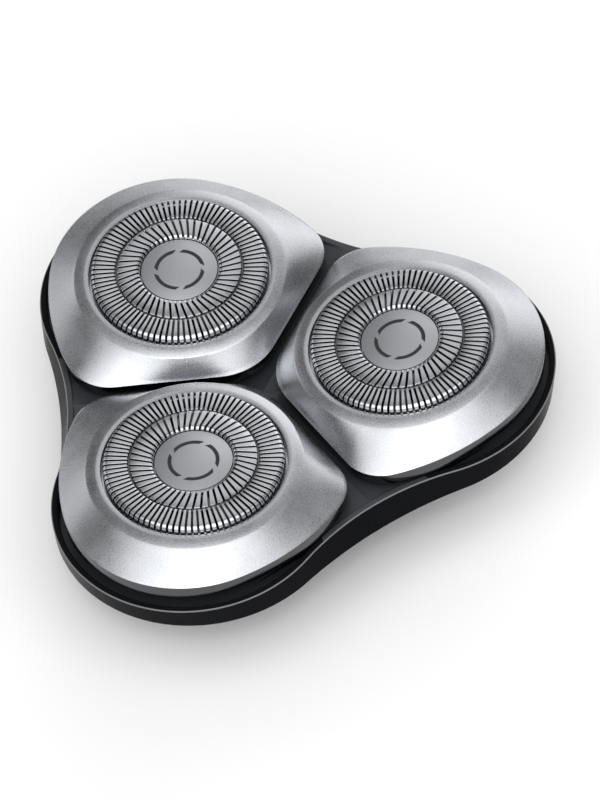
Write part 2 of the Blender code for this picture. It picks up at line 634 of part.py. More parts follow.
def web_tool():
    """Three ridged beams from the drive axis to the waists, with roof slopes falling under the bezels."""
    shape = bmesh.new()
    end = RIM_WAIST - RIM_WALL / 2
    rise = (RIM_HEIGHT - RIDGE_CENTRE) / RIM_WAIST
    base = (RECESS_FLOOR + DECK_BOTTOM) / 2
    for _, _, angle in round_about(1, start=SIXTH):
        turn = Matrix.Rotation(angle, 4, "Z")
        corners = []
        for distance in (-RIDGE_OVERRUN, end):
            ridge = RIDGE_CENTRE + rise * max(distance, 0)
            spread = (ridge - base) / RIDGE_SLOPE
            corners.append([shape.verts.new(turn @ point) for point in (
                Matrix.Translation((distance, -spread, base)).translation,
                Matrix.Translation((distance, spread, base)).translation,
                Matrix.Translation((distance, 0, ridge)).translation)])
        near, far = corners
        shape.faces.new(near)
        shape.faces.new(far)
        for k in range(3):
            n = (k + 1) % 3
            shape.faces.new((near[k], near[n], far[n], far[k]))
    return shape


def pivot_place(angle):
    """Where a head's tilt axis crosses its own axis."""
    height = FACE_HEIGHT - PIVOT_DROP * math.cos(HEAD_LEAN)
    return SPINDLE_CIRCLE * math.cos(angle), SPINDLE_CIRCLE * math.sin(angle), height


def top_frame(finish):
    """Black frame: tri-lobed wall and rim, ridged web, three wells, and posts for the trunnions."""
    shape = bmesh.new()
    foot = tri_lobe(FOOT_LOBE_CENTRE, FOOT_LOBE_RADIUS, FOOT_WAIST)
    rim = tri_lobe(RIM_LOBE_CENTRE, RIM_LOBE_RADIUS, RIM_WAIST)
    edge = tri_lobe(RIM_LOBE_CENTRE, RIM_LOBE_RADIUS - RIM_CHAMFER, RIM_WAIST - RIM_CHAMFER)
    stack(shape, [outline_loop(shape, foot, FRAME_BOTTOM), outline_loop(shape, rim, RIM_HEIGHT - RIM_CHAMFER),
                  outline_loop(shape, edge, RIM_HEIGHT)])
    frame = place("top_frame", to_mesh("top_frame", shape), finish)

    above = RIM_HEIGHT + OVERSHOOT
    recess = bmesh.new()
    inner = tri_lobe(RIM_LOBE_CENTRE, RIM_LOBE_RADIUS - RIM_WALL, RIM_WAIST - RIM_WALL)
    stack(recess, [outline_loop(recess, inner, RECESS_FLOOR), outline_loop(recess, inner, above)])
    combine(frame, tool("frame_recess", recess), "DIFFERENCE")

    below = FRAME_BOTTOM - OVERSHOOT
    pocket = bmesh.new()
    inner = tri_lobe(FOOT_LOBE_CENTRE, FOOT_LOBE_RADIUS - FRAME_WALL, FOOT_WAIST - FRAME_WALL)
    stack(pocket, [outline_loop(pocket, inner, below), outline_loop(pocket, inner, DECK_BOTTOM)])
    combine(frame, tool("frame_pocket", pocket), "DIFFERENCE")

    beams = web_tool()
    combine(frame, tool("frame_web", beams), "UNION", crossing=True)

    wells = bmesh.new()
    for x, y, _ in round_about(PITCH_RADIUS):
        rod(wells, WELL_RADIUS, below, above, MEDIUM, (x, y))
    combine(frame, tool("frame_wells", wells), "DIFFERENCE")

    posts, holes = bmesh.new(), bmesh.new()
    hole_radius = TRUNNION_RADIUS + TRUNNION_CLEAR
    for _, _, angle in round_about(1):
        x, y, z = pivot_place(angle)
        low, high = RECESS_FLOOR - POST_ROOT, z + hole_radius + POST_CROWN
        head = Matrix.Translation((x, y, 0)) @ Matrix.Rotation(angle, 4, "Z")
        for side in (-1, 1):
            middle = side * (POST_INNER + POST_THICK / 2)
            block = Matrix.Translation((0, middle, (low + high) / 2)) @ Matrix.Diagonal(
                (POST_WIDTH, POST_THICK, high - low, 1))
            bmesh.ops.create_cube(posts, size=1, matrix=head @ block)
            bore = Matrix.Translation((0, middle, z)) @ Matrix.Rotation(math.pi / 2, 4, "X")
            bmesh.ops.create_cone(holes, cap_ends=True, segments=SMALL, radius1=hole_radius,
                                  radius2=hole_radius, depth=2 * POST_THICK, matrix=head @ bore)
    combine(frame, tool("frame_posts", posts), "UNION")
    combine(frame, tool("frame_post_holes", holes), "DIFFERENCE")

    pilots = bmesh.new()
    for x, y, _ in round_about(SCREW_CIRCLE, start=SIXTH):
        rod(pilots, SCREW_RADIUS + SEAT_GAP, below, SCREW_HEAD_TOP + SCREW_LENGTH + SEAT_GAP, SMALL, (x, y))
    combine(frame, tool("frame_pilot_holes", pilots), "DIFFERENCE")
    return frame


def lower_housing(finish):
    """Bowl under the frame: floor with bushes for the gears, rests for the cover and screw bosses."""
    shape = bmesh.new()
    radius, waist = FOOT_LOBE_RADIUS - FRAME_WALL - SEAT_GAP, FOOT_WAIST - FRAME_WALL - SEAT_GAP
    low_radius, low_waist = radius - HOUSING_TAPER, waist - HOUSING_TAPER
    slope = HOUSING_TAPER / (HOUSING_TOP - HOUSING_BOTTOM)
    floor_in = HOUSING_WALL - slope * HOUSING_FLOOR
    rings = ((low_radius, low_waist, HOUSING_BOTTOM), (radius, waist, HOUSING_TOP),
             (radius - HOUSING_WALL, waist - HOUSING_WALL, HOUSING_TOP),
             (low_radius - floor_in, low_waist - floor_in, FLOOR_TOP))
    stack(shape, [outline_loop(shape, tri_lobe(FOOT_LOBE_CENTRE, r, w, 5, 1), z) for r, w, z in rings])
    housing = place("lower_housing", to_mesh("lower_housing", shape), finish)

    bosses, bores = bmesh.new(), bmesh.new()
    inside = HOUSING_BOTTOM + HOUSING_FLOOR / 2
    outside = HOUSING_BOTTOM - OVERSHOOT
    sink_radius = SCREW_HEAD_RADIUS + SEAT_GAP
    for x, y, _ in round_about(SCREW_CIRCLE, start=SIXTH):
        rod(bosses, sink_radius + BOSS_WALL, inside, HOUSING_TOP, SMALL, (x, y))
        rod(bores, sink_radius, outside, HOUSING_BOTTOM + SCREW_SINK, SMALL, (x, y))
    for x, y, _ in round_about(SPINDLE_CIRCLE):
        rod(bosses, JOURNAL_RADIUS + RUN_GAP + BUSH_WALL, inside, GEAR_BOTTOM - RUN_GAP, SMALL, (x, y))
        rod(bores, JOURNAL_RADIUS + RUN_GAP, FLOOR_TOP, GEAR_BOTTOM, SMALL, (x, y))
    rod(bosses, SHAFT_RADIUS + RUN_GAP + BUSH_WALL, inside, GEAR_BOTTOM - RUN_GAP, COARSE)
    rod(bores, SHAFT_RADIUS + RUN_GAP, outside, GEAR_BOTTOM, COARSE)
    rest_circle = FOOT_LOBE_CENTRE + COVER_LOBE_RADIUS - REST_POST_RADIUS
    for x, y, _ in round_about(rest_circle):
        rod(bosses, REST_POST_RADIUS, inside, COVER_BOTTOM - SEAT_GAP, HEX, (x, y))
    combine(housing, tool("housing_bosses", bosses), "UNION")
    combine(housing, tool("housing_bores", bores), "DIFFERENCE")

    shanks = bmesh.new()
    for x, y, _ in round_about(SCREW_CIRCLE, start=SIXTH):
        rod(shanks, SCREW_RADIUS + SEAT_GAP, HOUSING_BOTTOM + SCREW_SINK / 2, HOUSING_TOP + OVERSHOOT,
            SMALL, (x, y))
    combine(housing, tool("housing_screw_holes", shanks), "DIFFERENCE")
    return housing


def gear_cover(finish):
    """Plate over the gears, with a bearing hole for each spindle and for the drive gear."""
    shape = bmesh.new()
    outline = tri_lobe(FOOT_LOBE_CENTRE, COVER_LOBE_RADIUS, COVER_WAIST, 4, 1)
    stack(shape, [outline_loop(shape, outline, COVER_BOTTOM), outline_loop(shape, outline, COVER_TOP)])
    cover = place("gear_cover", to_mesh("gear_cover", shape), finish)
    holes = bmesh.new()
    low, high = COVER_BOTTOM - OVERSHOOT, COVER_TOP + OVERSHOOT
    for x, y, _ in round_about(SPINDLE_CIRCLE):
        rod(holes, SPINDLE_HUB_RADIUS + RUN_GAP, low, high, COARSE, (x, y))
    rod(holes, JOURNAL_RADIUS + RUN_GAP, low, high, SMALL)
    combine(cover, tool("cover_holes", holes), "DIFFERENCE")
    return cover


def coupling_collar(finish):
    """Collar that plugs into the handle, with three bayonet lugs below a flange."""
    outer = COLLAR_OUTER
    flange = COLLAR_HEIGHT - COLLAR_FLANGE_THICK
    collar = place("coupling_collar", turned("coupling_collar", [
        (COLLAR_BORE, 0, MEDIUM), (outer, 0, MEDIUM), (outer, flange, MEDIUM),
        (COLLAR_FLANGE_RADIUS, flange, MEDIUM), (COLLAR_FLANGE_RADIUS, COLLAR_HEIGHT, MEDIUM),
        (COLLAR_BORE, COLLAR_HEIGHT, MEDIUM)], ring=True), finish)
    lugs = bmesh.new()
    for x, y, angle in round_about(outer + (LUG_WIDTH - LUG_ROOT) / 2):
        block = Matrix.Translation((x, y, LUG_RISE + LUG_HEIGHT / 2)) @ Matrix.Rotation(angle, 4, "Z")
        size = Matrix.Diagonal((LUG_WIDTH + LUG_ROOT, LUG_LENGTH, LUG_HEIGHT, 1))
        bmesh.ops.create_cube(lugs, size=1, matrix=block @ size)
    combine(collar, tool("collar_lugs", lugs), "UNION")
    return collar


def collar_seal(finish):
    """Square-section sealing ring under the collar's flange."""
    inner = COLLAR_OUTER + SEAT_GAP
    top = COLLAR_HEIGHT - COLLAR_FLANGE_THICK - SEAT_GAP
    low = top - SEAL_WIRE
    outer = inner + SEAL_WIRE
    profile = [(inner, low, MEDIUM), (outer, low, MEDIUM), (outer, top, MEDIUM), (inner, top, MEDIUM)]
    return place("collar_seal", turned("collar_seal", profile, ring=True), finish)


def screw_mesh():
    shank_top = SCREW_HEAD_TOP + SCREW_LENGTH
    low = SCREW_HEAD_TOP - SCREW_HEAD_THICK
    return turned("screw", [(SCREW_RADIUS, low + SCREW_HEAD_THICK / 2, HEX), (SCREW_RADIUS, low, HEX),
                            (SCREW_HEAD_RADIUS, low, SMALL), (SCREW_HEAD_RADIUS, SCREW_HEAD_TOP, SMALL),
                            (SCREW_RADIUS, SCREW_HEAD_TOP, HEX), (SCREW_RADIUS, shank_top, HEX)])


def disc_mesh():
    return turned("centre_disc", [(DISC_RADIUS, -DISC_THICK, MEDIUM), (DISC_RADIUS, 0, MEDIUM)])


def hub_mesh():
    """Plastic hub that carries the blade ring and takes the spindle's hexagon from below."""
    flange_low = HUB_FLANGE_TOP - HUB_FLANGE_THICK
    neck = BLADE_INNER - SEAT_GAP
    socket_top = HUB_BOTTOM - TIP_COLLAR_DROP + TIP_REACH + SEAT_GAP
    top = -RECESS_DEPTH - GUARD_WALL - RUN_GAP
    return turned("cutter_hub", [(HUB_SOCKET_RADIUS, socket_top, HEX), (HUB_SOCKET_RADIUS, HUB_BOTTOM, HEX),
                                 (HUB_RADIUS, HUB_BOTTOM, COARSE), (HUB_RADIUS, flange_low, COARSE),
                                 (HUB_FLANGE_RADIUS, flange_low, COARSE),
                                 (HUB_FLANGE_RADIUS, HUB_FLANGE_TOP, COARSE),
                                 (neck, HUB_FLANGE_TOP, COARSE), (neck, top, COARSE)])


def tip_mesh():
    """Sprung tip: stem in the gear's bore, collar on the spring, hexagon in the cutter's hub."""
    top = TIP_COLLAR_TOP + TIP_REACH
    return turned("spindle_tip", [(TIP_STEM_RADIUS, TIP_BOTTOM, HEX),
                                  (TIP_STEM_RADIUS, TIP_COLLAR_BOTTOM, HEX),
                                  (TIP_COLLAR_RADIUS, TIP_COLLAR_BOTTOM, COARSE),
                                  (TIP_COLLAR_RADIUS, TIP_COLLAR_TOP, COARSE),
                                  (TIP_HEX_RADIUS, TIP_COLLAR_TOP, HEX),
                                  (TIP_HEX_RADIUS, top - TIP_CHAMFER, HEX),
                                  (TIP_HEX_RADIUS - TIP_CHAMFER, top, HEX)])


def head(index, angle, finishes):
    """One shaving head on its tilt axis, and the spindle that drives it."""
    x, y, z = pivot_place(angle)
    pivot = bpy.data.objects.new("head_%d_pivot" % index, None)
    bpy.context.scene.collection.objects.link(pivot)
    pivot.location = (x, y, z)
    pivot.rotation_euler = (0, -HEAD_LEAN, angle)
    face = (0, 0, PIVOT_DROP)
    number = "_%d" % index
    place("bezel" + number, bezel_mesh(), finishes["bezel"], pivot, face)
    pivot_ring("pivot_ring" + number, finishes["dark_plastic"], pivot, face)
    place("guard" + number, guard_mesh(SWIRL_HAND[index - 1]), finishes["guard"], pivot, face)
    place("centre_disc" + number, disc_mesh(), finishes["disc"], pivot, face)
    place("cutter_blades" + number, blades_mesh(), finishes["blade"], pivot, face)
    place("cutter_hub" + number, hub_mesh(), finishes["hub"], pivot, face)
    axis = (SPINDLE_CIRCLE * math.cos(angle), SPINDLE_CIRCLE * math.sin(angle), 0)
    place("spindle_gear" + number, spindle_gear_mesh(angle), finishes["gear"], None, axis, angle)
    place("spindle_tip" + number, tip_mesh(), finishes["hub"], None, axis, angle)
    place("spindle_spring" + number, spring_curve("spindle_spring"), finishes["spring"], None, axis, angle)


def build():
    clear_scene()
    finishes = {
        "frame": finish_material("frame_black", (0.012, 0.012, 0.014), 0.18, 0.0),
        "dark_plastic": finish_material("dark_plastic", (0.03, 0.03, 0.033), 0.45, 0.0),
        "bezel": finish_material("satin_silver", (0.62, 0.62, 0.64), 0.32, 1.0),
        "guard": finish_material("guard_steel", (0.70, 0.70, 0.70), 0.25, 1.0),
        "disc": finish_material("disc_steel", (0.55, 0.55, 0.56), 0.4, 1.0),
        "blade": finish_material("blade_steel", (0.5, 0.5, 0.52), 0.2, 1.0),
        "hub": finish_material("hub_plastic", (0.08, 0.08, 0.09), 0.5, 0.0),
        "gear": finish_material("gear_acetal", (0.75, 0.74, 0.70), 0.5, 0.0),
        "spring": finish_material("spring_steel", (0.45, 0.45, 0.47), 0.3, 1.0),
        "seal": finish_material("seal_rubber", (0.02, 0.02, 0.02), 0.8, 0.0),
        "screw": finish_material("screw_steel", (0.35, 0.35, 0.36), 0.35, 1.0),
    }
    top_frame(finishes["frame"])
    lower_housing(finishes["dark_plastic"])
    gear_cover(finishes["dark_plastic"])
    coupling_collar(finishes["dark_plastic"])
    collar_seal(finishes["seal"])
    for number, (x, y, angle) in enumerate(round_about(SCREW_CIRCLE, start=SIXTH), 1):
        place("screw_%d" % number, screw_mesh(), finishes["screw"], None, (x, y, 0), angle)
    place("drive_gear", drive_gear_mesh(), finishes["gear"])
    for number, (_, _, angle) in enumerate(round_about(1), 1):
        head(number, angle, finishes)


build()
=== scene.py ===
import math

import bmesh
import bpy
from mathutils import Matrix, Vector
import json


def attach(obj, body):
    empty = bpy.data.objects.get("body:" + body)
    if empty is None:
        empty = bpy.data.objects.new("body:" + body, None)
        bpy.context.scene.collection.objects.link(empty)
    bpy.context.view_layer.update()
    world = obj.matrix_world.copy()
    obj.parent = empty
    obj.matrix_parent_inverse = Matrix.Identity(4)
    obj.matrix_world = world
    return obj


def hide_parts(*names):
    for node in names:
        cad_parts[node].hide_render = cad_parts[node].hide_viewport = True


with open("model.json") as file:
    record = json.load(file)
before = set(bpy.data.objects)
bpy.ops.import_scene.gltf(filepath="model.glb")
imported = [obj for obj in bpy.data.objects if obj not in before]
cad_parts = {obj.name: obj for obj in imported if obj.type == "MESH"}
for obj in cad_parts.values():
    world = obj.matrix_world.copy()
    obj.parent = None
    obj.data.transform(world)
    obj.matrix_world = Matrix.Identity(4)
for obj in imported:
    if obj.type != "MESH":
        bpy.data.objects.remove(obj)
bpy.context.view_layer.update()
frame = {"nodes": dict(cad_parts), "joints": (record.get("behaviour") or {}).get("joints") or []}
print("frame loaded:", len(frame["nodes"]), "nodes")

mm = 0.001
fullTurn = 2 * math.pi
sixth = math.radians(60)
third = 2 * sixth
bend = 0.3  # the middle of a rounded edge stays this share of its radius off the sharp edge
bevelSteps = 3
overrun = 2.0  # a cutting tool runs this far past what it cuts
joints = {joint["name"]: joint for joint in frame["joints"]}

# a dictionary holds millimetres and degrees, unless a note says otherwise
# a head's heights count from the face of its centre disc, and the frame's from the resting face
heads = {"numbers": (1, 2, 3), "pivotDrop": 5.0, "pitch": 18.4, "swirl": (1, -1, -1)}


def clearSelection():
    if bpy.context.object and bpy.context.object.mode != "OBJECT":
        bpy.ops.object.mode_set(mode="OBJECT")
    bpy.ops.object.select_all(action="DESELECT")


def pick(piece):
    clearSelection()
    piece.select_set(True)
    bpy.context.view_layer.objects.active = piece


def spot(radius, angle):
    return radius * math.cos(angle), radius * math.sin(angle)


def headingOf(x, y):
    return math.atan2(y, x)


def headAngle(number):
    return (number - 1) * third


def waistAngle(number):
    # the frame's hollow that follows a head, going anticlockwise
    return sixth + (number - 1) * third


def headPlace(number):
    # the head's own axes from its joints: x outwards, y along the tilt axis, z out of its face
    up = Vector(joints["guard_press_%d" % number]["axis"])
    tilt = joints["head_tilt_%d" % number]
    side = Vector(tilt["axis"])
    out = side.cross(up)
    place = Matrix((out, side, up)).transposed().to_4x4()
    place.translation = Vector(tilt["pos_m"]) + up * heads["pivotDrop"] * mm
    return place


def settle(piece, place):
    # moves a piece to its place and keeps that place in its mesh
    piece.matrix_world = place
    pick(piece)
    bpy.ops.object.transform_apply(location=True, rotation=True, scale=True)


def copyOf(piece, name):
    pick(piece)
    bpy.ops.object.duplicate()
    twin = bpy.context.object
    twin.name = twin.data.name = name
    return twin


def joined(pieces):
    clearSelection()
    for piece in pieces:
        piece.select_set(True)
    bpy.context.view_layer.objects.active = pieces[0]
    bpy.ops.object.join()
    return bpy.context.object


def smoothen(piece, angle):
    pick(piece)
    bpy.ops.object.shade_smooth_by_angle(angle=math.radians(angle))


def startCircle(name, count):
    # a bare circle in edit mode, all selected, to extrude from
    clearSelection()
    bpy.ops.mesh.primitive_circle_add(vertices=count, radius=mm, fill_type="NOTHING")
    piece = bpy.context.object
    piece.name = piece.data.name = name
    bpy.ops.object.mode_set(mode="EDIT")
    bpy.ops.mesh.select_all(action="SELECT")
    return piece


def faceOutwards():
    bpy.ops.mesh.select_all(action="SELECT")
    bpy.ops.mesh.normals_make_consistent(inside=False)


def placeRing(piece, reach, z):
    # puts the selected ring at a height and radius; the radius may be a rule of the angle
    shape = bmesh.from_edit_mesh(piece.data)
    for v in shape.verts:
        if v.select:
            angle = headingOf(v.co.x, v.co.y)
            radius = reach(angle) if callable(reach) else reach
            v.co = (*(part * mm for part in spot(radius, angle)), z * mm)
    bmesh.update_edit_mesh(piece.data)


def ringStack(name, rings, count, closed=True, smooth=30):
    # a circle, extruded ring by ring, each a radius or a rule, and a height
    # closed joins the last ring to the first, or else a face goes along and both ends are closed
    piece = startCircle(name, count)
    placeRing(piece, *rings[0])
    if not closed:
        bpy.ops.mesh.edge_face_add()
    for reach, z in rings[1:]:
        if closed:
            bpy.ops.mesh.extrude_edges_move()
        else:
            bpy.ops.mesh.extrude_region_move()
        placeRing(piece, reach, z)
    if closed:
        shape = bmesh.from_edit_mesh(piece.data)
        shape.verts.ensure_lookup_table()
        for v in shape.verts:
            v.select = v.index < count or v.select
        shape.select_flush(True)
        bpy.ops.mesh.bridge_edge_loops()
    faceOutwards()
    bpy.ops.object.mode_set(mode="OBJECT")
    bpy.ops.object.shade_smooth_by_angle(angle=math.radians(smooth))
    return piece


def sweep(name, sections):
    # a face, extruded from section to section, each a list of corners by radius, angle and height
    # the piece stays in edit mode, so that it can be painted and copied round
    piece = startCircle(name, len(sections[0]))
    bpy.ops.mesh.edge_face_add()
    for k, section in enumerate(sections):
        if k:
            bpy.ops.mesh.extrude_region_move()
        shape = bmesh.from_edit_mesh(piece.data)
        corners = [v for v in shape.verts if v.select]
        for v, (radius, angle, z) in zip(corners, section):
            v.co = (*(part * mm for part in spot(radius, angle)), z * mm)
        bmesh.update_edit_mesh(piece.data)
    faceOutwards()
    return piece


def copyRound(count):
    # repeats the selected faces round the z axis
    for k in range(count - 1):
        bpy.ops.mesh.duplicate()
        bpy.ops.transform.rotate(value=fullTurn / count, orient_axis="Z", center_override=(0, 0, 0))


def carve(piece, tool, operation="DIFFERENCE"):
    step = piece.modifiers.new(operation.lower(), "BOOLEAN")
    step.operation = operation
    step.object = tool
    step.solver = "EXACT"
    pick(piece)
    bpy.ops.object.modifier_apply(modifier=step.name)
    bpy.data.objects.remove(tool, do_unlink=True)


def pin(radius, low, high, x=0.0, y=0.0, count=64):
    clearSelection()
    bpy.ops.mesh.primitive_cylinder_add(vertices=count, radius=radius * mm, depth=(high - low) * mm,
                                        location=(x * mm, y * mm, (low + high) / 2 * mm))
    bpy.ops.object.transform_apply(location=True)
    return bpy.context.object


def block(middle, size, soft=0.0):
    # a box, with rounded edges where soft gives their radius
    clearSelection()
    bpy.ops.mesh.primitive_cube_add(size=1, location=[part * mm for part in middle],
                                    scale=[part * mm for part in size])
    piece = bpy.context.object
    bpy.ops.object.transform_apply(location=True, scale=True)
    if soft:
        step = piece.modifiers.new("round", "BEVEL")
        step.width = soft * mm
        step.segments = bevelSteps
        bpy.ops.object.modifier_apply(modifier=step.name)
    return piece


def crossing(angle, x, y, radius, side=1):
    # where a ray from the axis meets a circle: on its far side, or with side -1 on its near side
    along = x * math.cos(angle) + y * math.sin(angle)
    return along + side * math.sqrt(radius ** 2 - x ** 2 - y ** 2 + along ** 2)


def triLobe(centre, radius, waist):
    # three round lobes joined by hollow waists, as a radius for each angle
    hollow = radius ** 2 - waist ** 2 + waist * centre - centre ** 2
    hollow /= 2 * waist - centre - 2 * radius
    hollowX, hollowY = spot(waist + hollow, sixth)
    contactX, contactY = spot(radius, headingOf(hollowX - centre, hollowY))
    change = headingOf(centre + contactX, contactY)

    def reach(angle):
        folded = abs((angle + sixth) % third - sixth)
        if folded < change:
            return crossing(folded, centre, 0, radius)
        return crossing(folded, hollowX, hollowY, hollow, -1)
    return reach


grain = {"size": 6000.0, "patch": 300.0, "fineDetail": 3, "fineRoughness": 0.65, "broadDetail": 2,
         "fineShare": 0.7, "broadShare": 0.3, "brushLines": 9000.0, "brushTurn": 1.5, "brushDetail": 2,
         "colourSpan": (0.35, 0.65), "glossSpan": (0.3, 0.7), "bumpStrength": 0.5}


def makeNodeGroup(name, inputs, outputs):
    group = bpy.data.node_groups.new(name, "ShaderNodeTree")
    for label, kind, value in inputs:
        socket = group.interface.new_socket(name=label, in_out="INPUT", socket_type=kind)
        if value is not None:
            socket.default_value = value
    for label, kind in outputs:
        group.interface.new_socket(name=label, in_out="OUTPUT", socket_type=kind)
    start, end = group.nodes.new("NodeGroupInput"), group.nodes.new("NodeGroupOutput")
    return group, start, end


def mathNode(tree, operation, first, second=None):
    node = tree.nodes.new("ShaderNodeMath")
    node.operation = operation
    for k, value in enumerate((first, second)):
        if value is None:
            continue
        if isinstance(value, (int, float)):
            node.inputs[k].default_value = value
        else:
            tree.links.new(value, node.inputs[k])
    return node.outputs[0]


def makeGrainGroup():
    # fine blasted or moulded grain: a height for the bump and a mask for colour and gloss
    group, start, end = makeNodeGroup(
        "surfaceGrain",
        (("Vector", "NodeSocketVector", None), ("Size", "NodeSocketFloat", grain["size"]),
         ("Patch", "NodeSocketFloat", grain["patch"])),
        (("Height", "NodeSocketFloat"), ("Mask", "NodeSocketFloat")))
    fine = group.nodes.new("ShaderNodeTexNoise")
    fine.inputs["Detail"].default_value = grain["fineDetail"]
    fine.inputs["Roughness"].default_value = grain["fineRoughness"]
    broad = group.nodes.new("ShaderNodeTexNoise")
    broad.inputs["Detail"].default_value = grain["broadDetail"]
    for node, size in ((fine, "Size"), (broad, "Patch")):
        group.links.new(start.outputs["Vector"], node.inputs["Vector"])
        group.links.new(start.outputs[size], node.inputs["Scale"])
    group.links.new(fine.outputs["Fac"], end.inputs["Height"])
    mixed = mathNode(group, "MULTIPLY", fine.outputs["Fac"], grain["fineShare"])
    soft = mathNode(group, "MULTIPLY", broad.outputs["Fac"], grain["broadShare"])
    group.links.new(mathNode(group, "ADD", mixed, soft), end.inputs["Mask"])
    return group


def makeRingBrushGroup():
    # fine rings round the z axis of the coordinates, as a lathe or a turning brush leaves
    group, start, end = makeNodeGroup(
        "ringBrush",
        (("Vector", "NodeSocketVector", None), ("Lines", "NodeSocketFloat", grain["brushLines"])),
        (("Height", "NodeSocketFloat"),))
    parts = group.nodes.new("ShaderNodeSeparateXYZ")
    group.links.new(start.outputs["Vector"], parts.inputs[0])
    x, y = parts.outputs[0], parts.outputs[1]
    squares = [mathNode(group, "MULTIPLY", part, part) for part in (x, y)]
    radius = mathNode(group, "SQRT", mathNode(group, "ADD", *squares))
    angle = mathNode(group, "ARCTAN2", y, x)
    polar = group.nodes.new("ShaderNodeCombineXYZ")
    group.links.new(mathNode(group, "MULTIPLY", radius, start.outputs["Lines"]), polar.inputs[0])
    group.links.new(mathNode(group, "MULTIPLY", angle, grain["brushTurn"]), polar.inputs[1])
    lines = group.nodes.new("ShaderNodeTexNoise")
    lines.inputs["Scale"].default_value = 1.0
    lines.inputs["Detail"].default_value = grain["brushDetail"]
    group.links.new(polar.outputs[0], lines.inputs["Vector"])
    group.links.new(lines.outputs["Fac"], end.inputs["Height"])
    return group


grainGroup = makeGrainGroup()
ringBrushGroup = makeRingBrushGroup()


def makeFinish(name, colour, metal, rough, size, bump, spread, gloss,
               specular=0.5, place=None, ring=0.0):
    # colour and gloss vary with the grain; ring adds brushed rings round the z axis of a place
    finish = bpy.data.materials.new(name)
    finish.use_nodes = True
    tree = finish.node_tree
    shader = tree.nodes["Principled BSDF"]
    shader.inputs["Metallic"].default_value = metal
    shader.inputs["Specular IOR Level"].default_value = specular
    coords = tree.nodes.new("ShaderNodeTexCoord")
    vector = coords.outputs["Object"]
    if place:
        mapping = tree.nodes.new("ShaderNodeMapping")
        mapping.vector_type = "TEXTURE"
        mapping.inputs["Location"].default_value = place.translation
        mapping.inputs["Rotation"].default_value = place.to_euler()
        tree.links.new(vector, mapping.inputs["Vector"])
        vector = mapping.outputs["Vector"]
    grained = tree.nodes.new("ShaderNodeGroup")
    grained.node_tree = grainGroup
    grained.inputs["Size"].default_value = size
    tree.links.new(vector, grained.inputs["Vector"])
    mask = grained.outputs["Mask"]
    ramp = tree.nodes.new("ShaderNodeValToRGB")
    for end, position, change in zip(ramp.color_ramp.elements, grain["colourSpan"], (-spread, spread)):
        end.position = position
        end.color = (*(min(part * (1 + change), 1) for part in colour), 1)
    tree.links.new(mask, ramp.inputs["Fac"])
    tree.links.new(ramp.outputs["Color"], shader.inputs["Base Color"])
    polish = tree.nodes.new("ShaderNodeMapRange")
    limits = (*grain["glossSpan"], rough - gloss, rough + gloss)
    for label, limit in zip(("From Min", "From Max", "To Min", "To Max"), limits):
        polish.inputs[label].default_value = limit
    tree.links.new(mask, polish.inputs["Value"])
    tree.links.new(polish.outputs["Result"], shader.inputs["Roughness"])
    height = grained.outputs["Height"]
    if ring:
        brushed = tree.nodes.new("ShaderNodeGroup")
        brushed.node_tree = ringBrushGroup
        tree.links.new(vector, brushed.inputs["Vector"])
        rings = mathNode(tree, "MULTIPLY", brushed.outputs["Height"], ring)
        height = mathNode(tree, "ADD", rings, height)
    raised = tree.nodes.new("ShaderNodeBump")
    raised.inputs["Strength"].default_value = grain["bumpStrength"]
    raised.inputs["Distance"].default_value = bump * mm
    tree.links.new(height, raised.inputs["Height"])
    tree.links.new(raised.outputs["Normal"], shader.inputs["Normal"])
    return finish


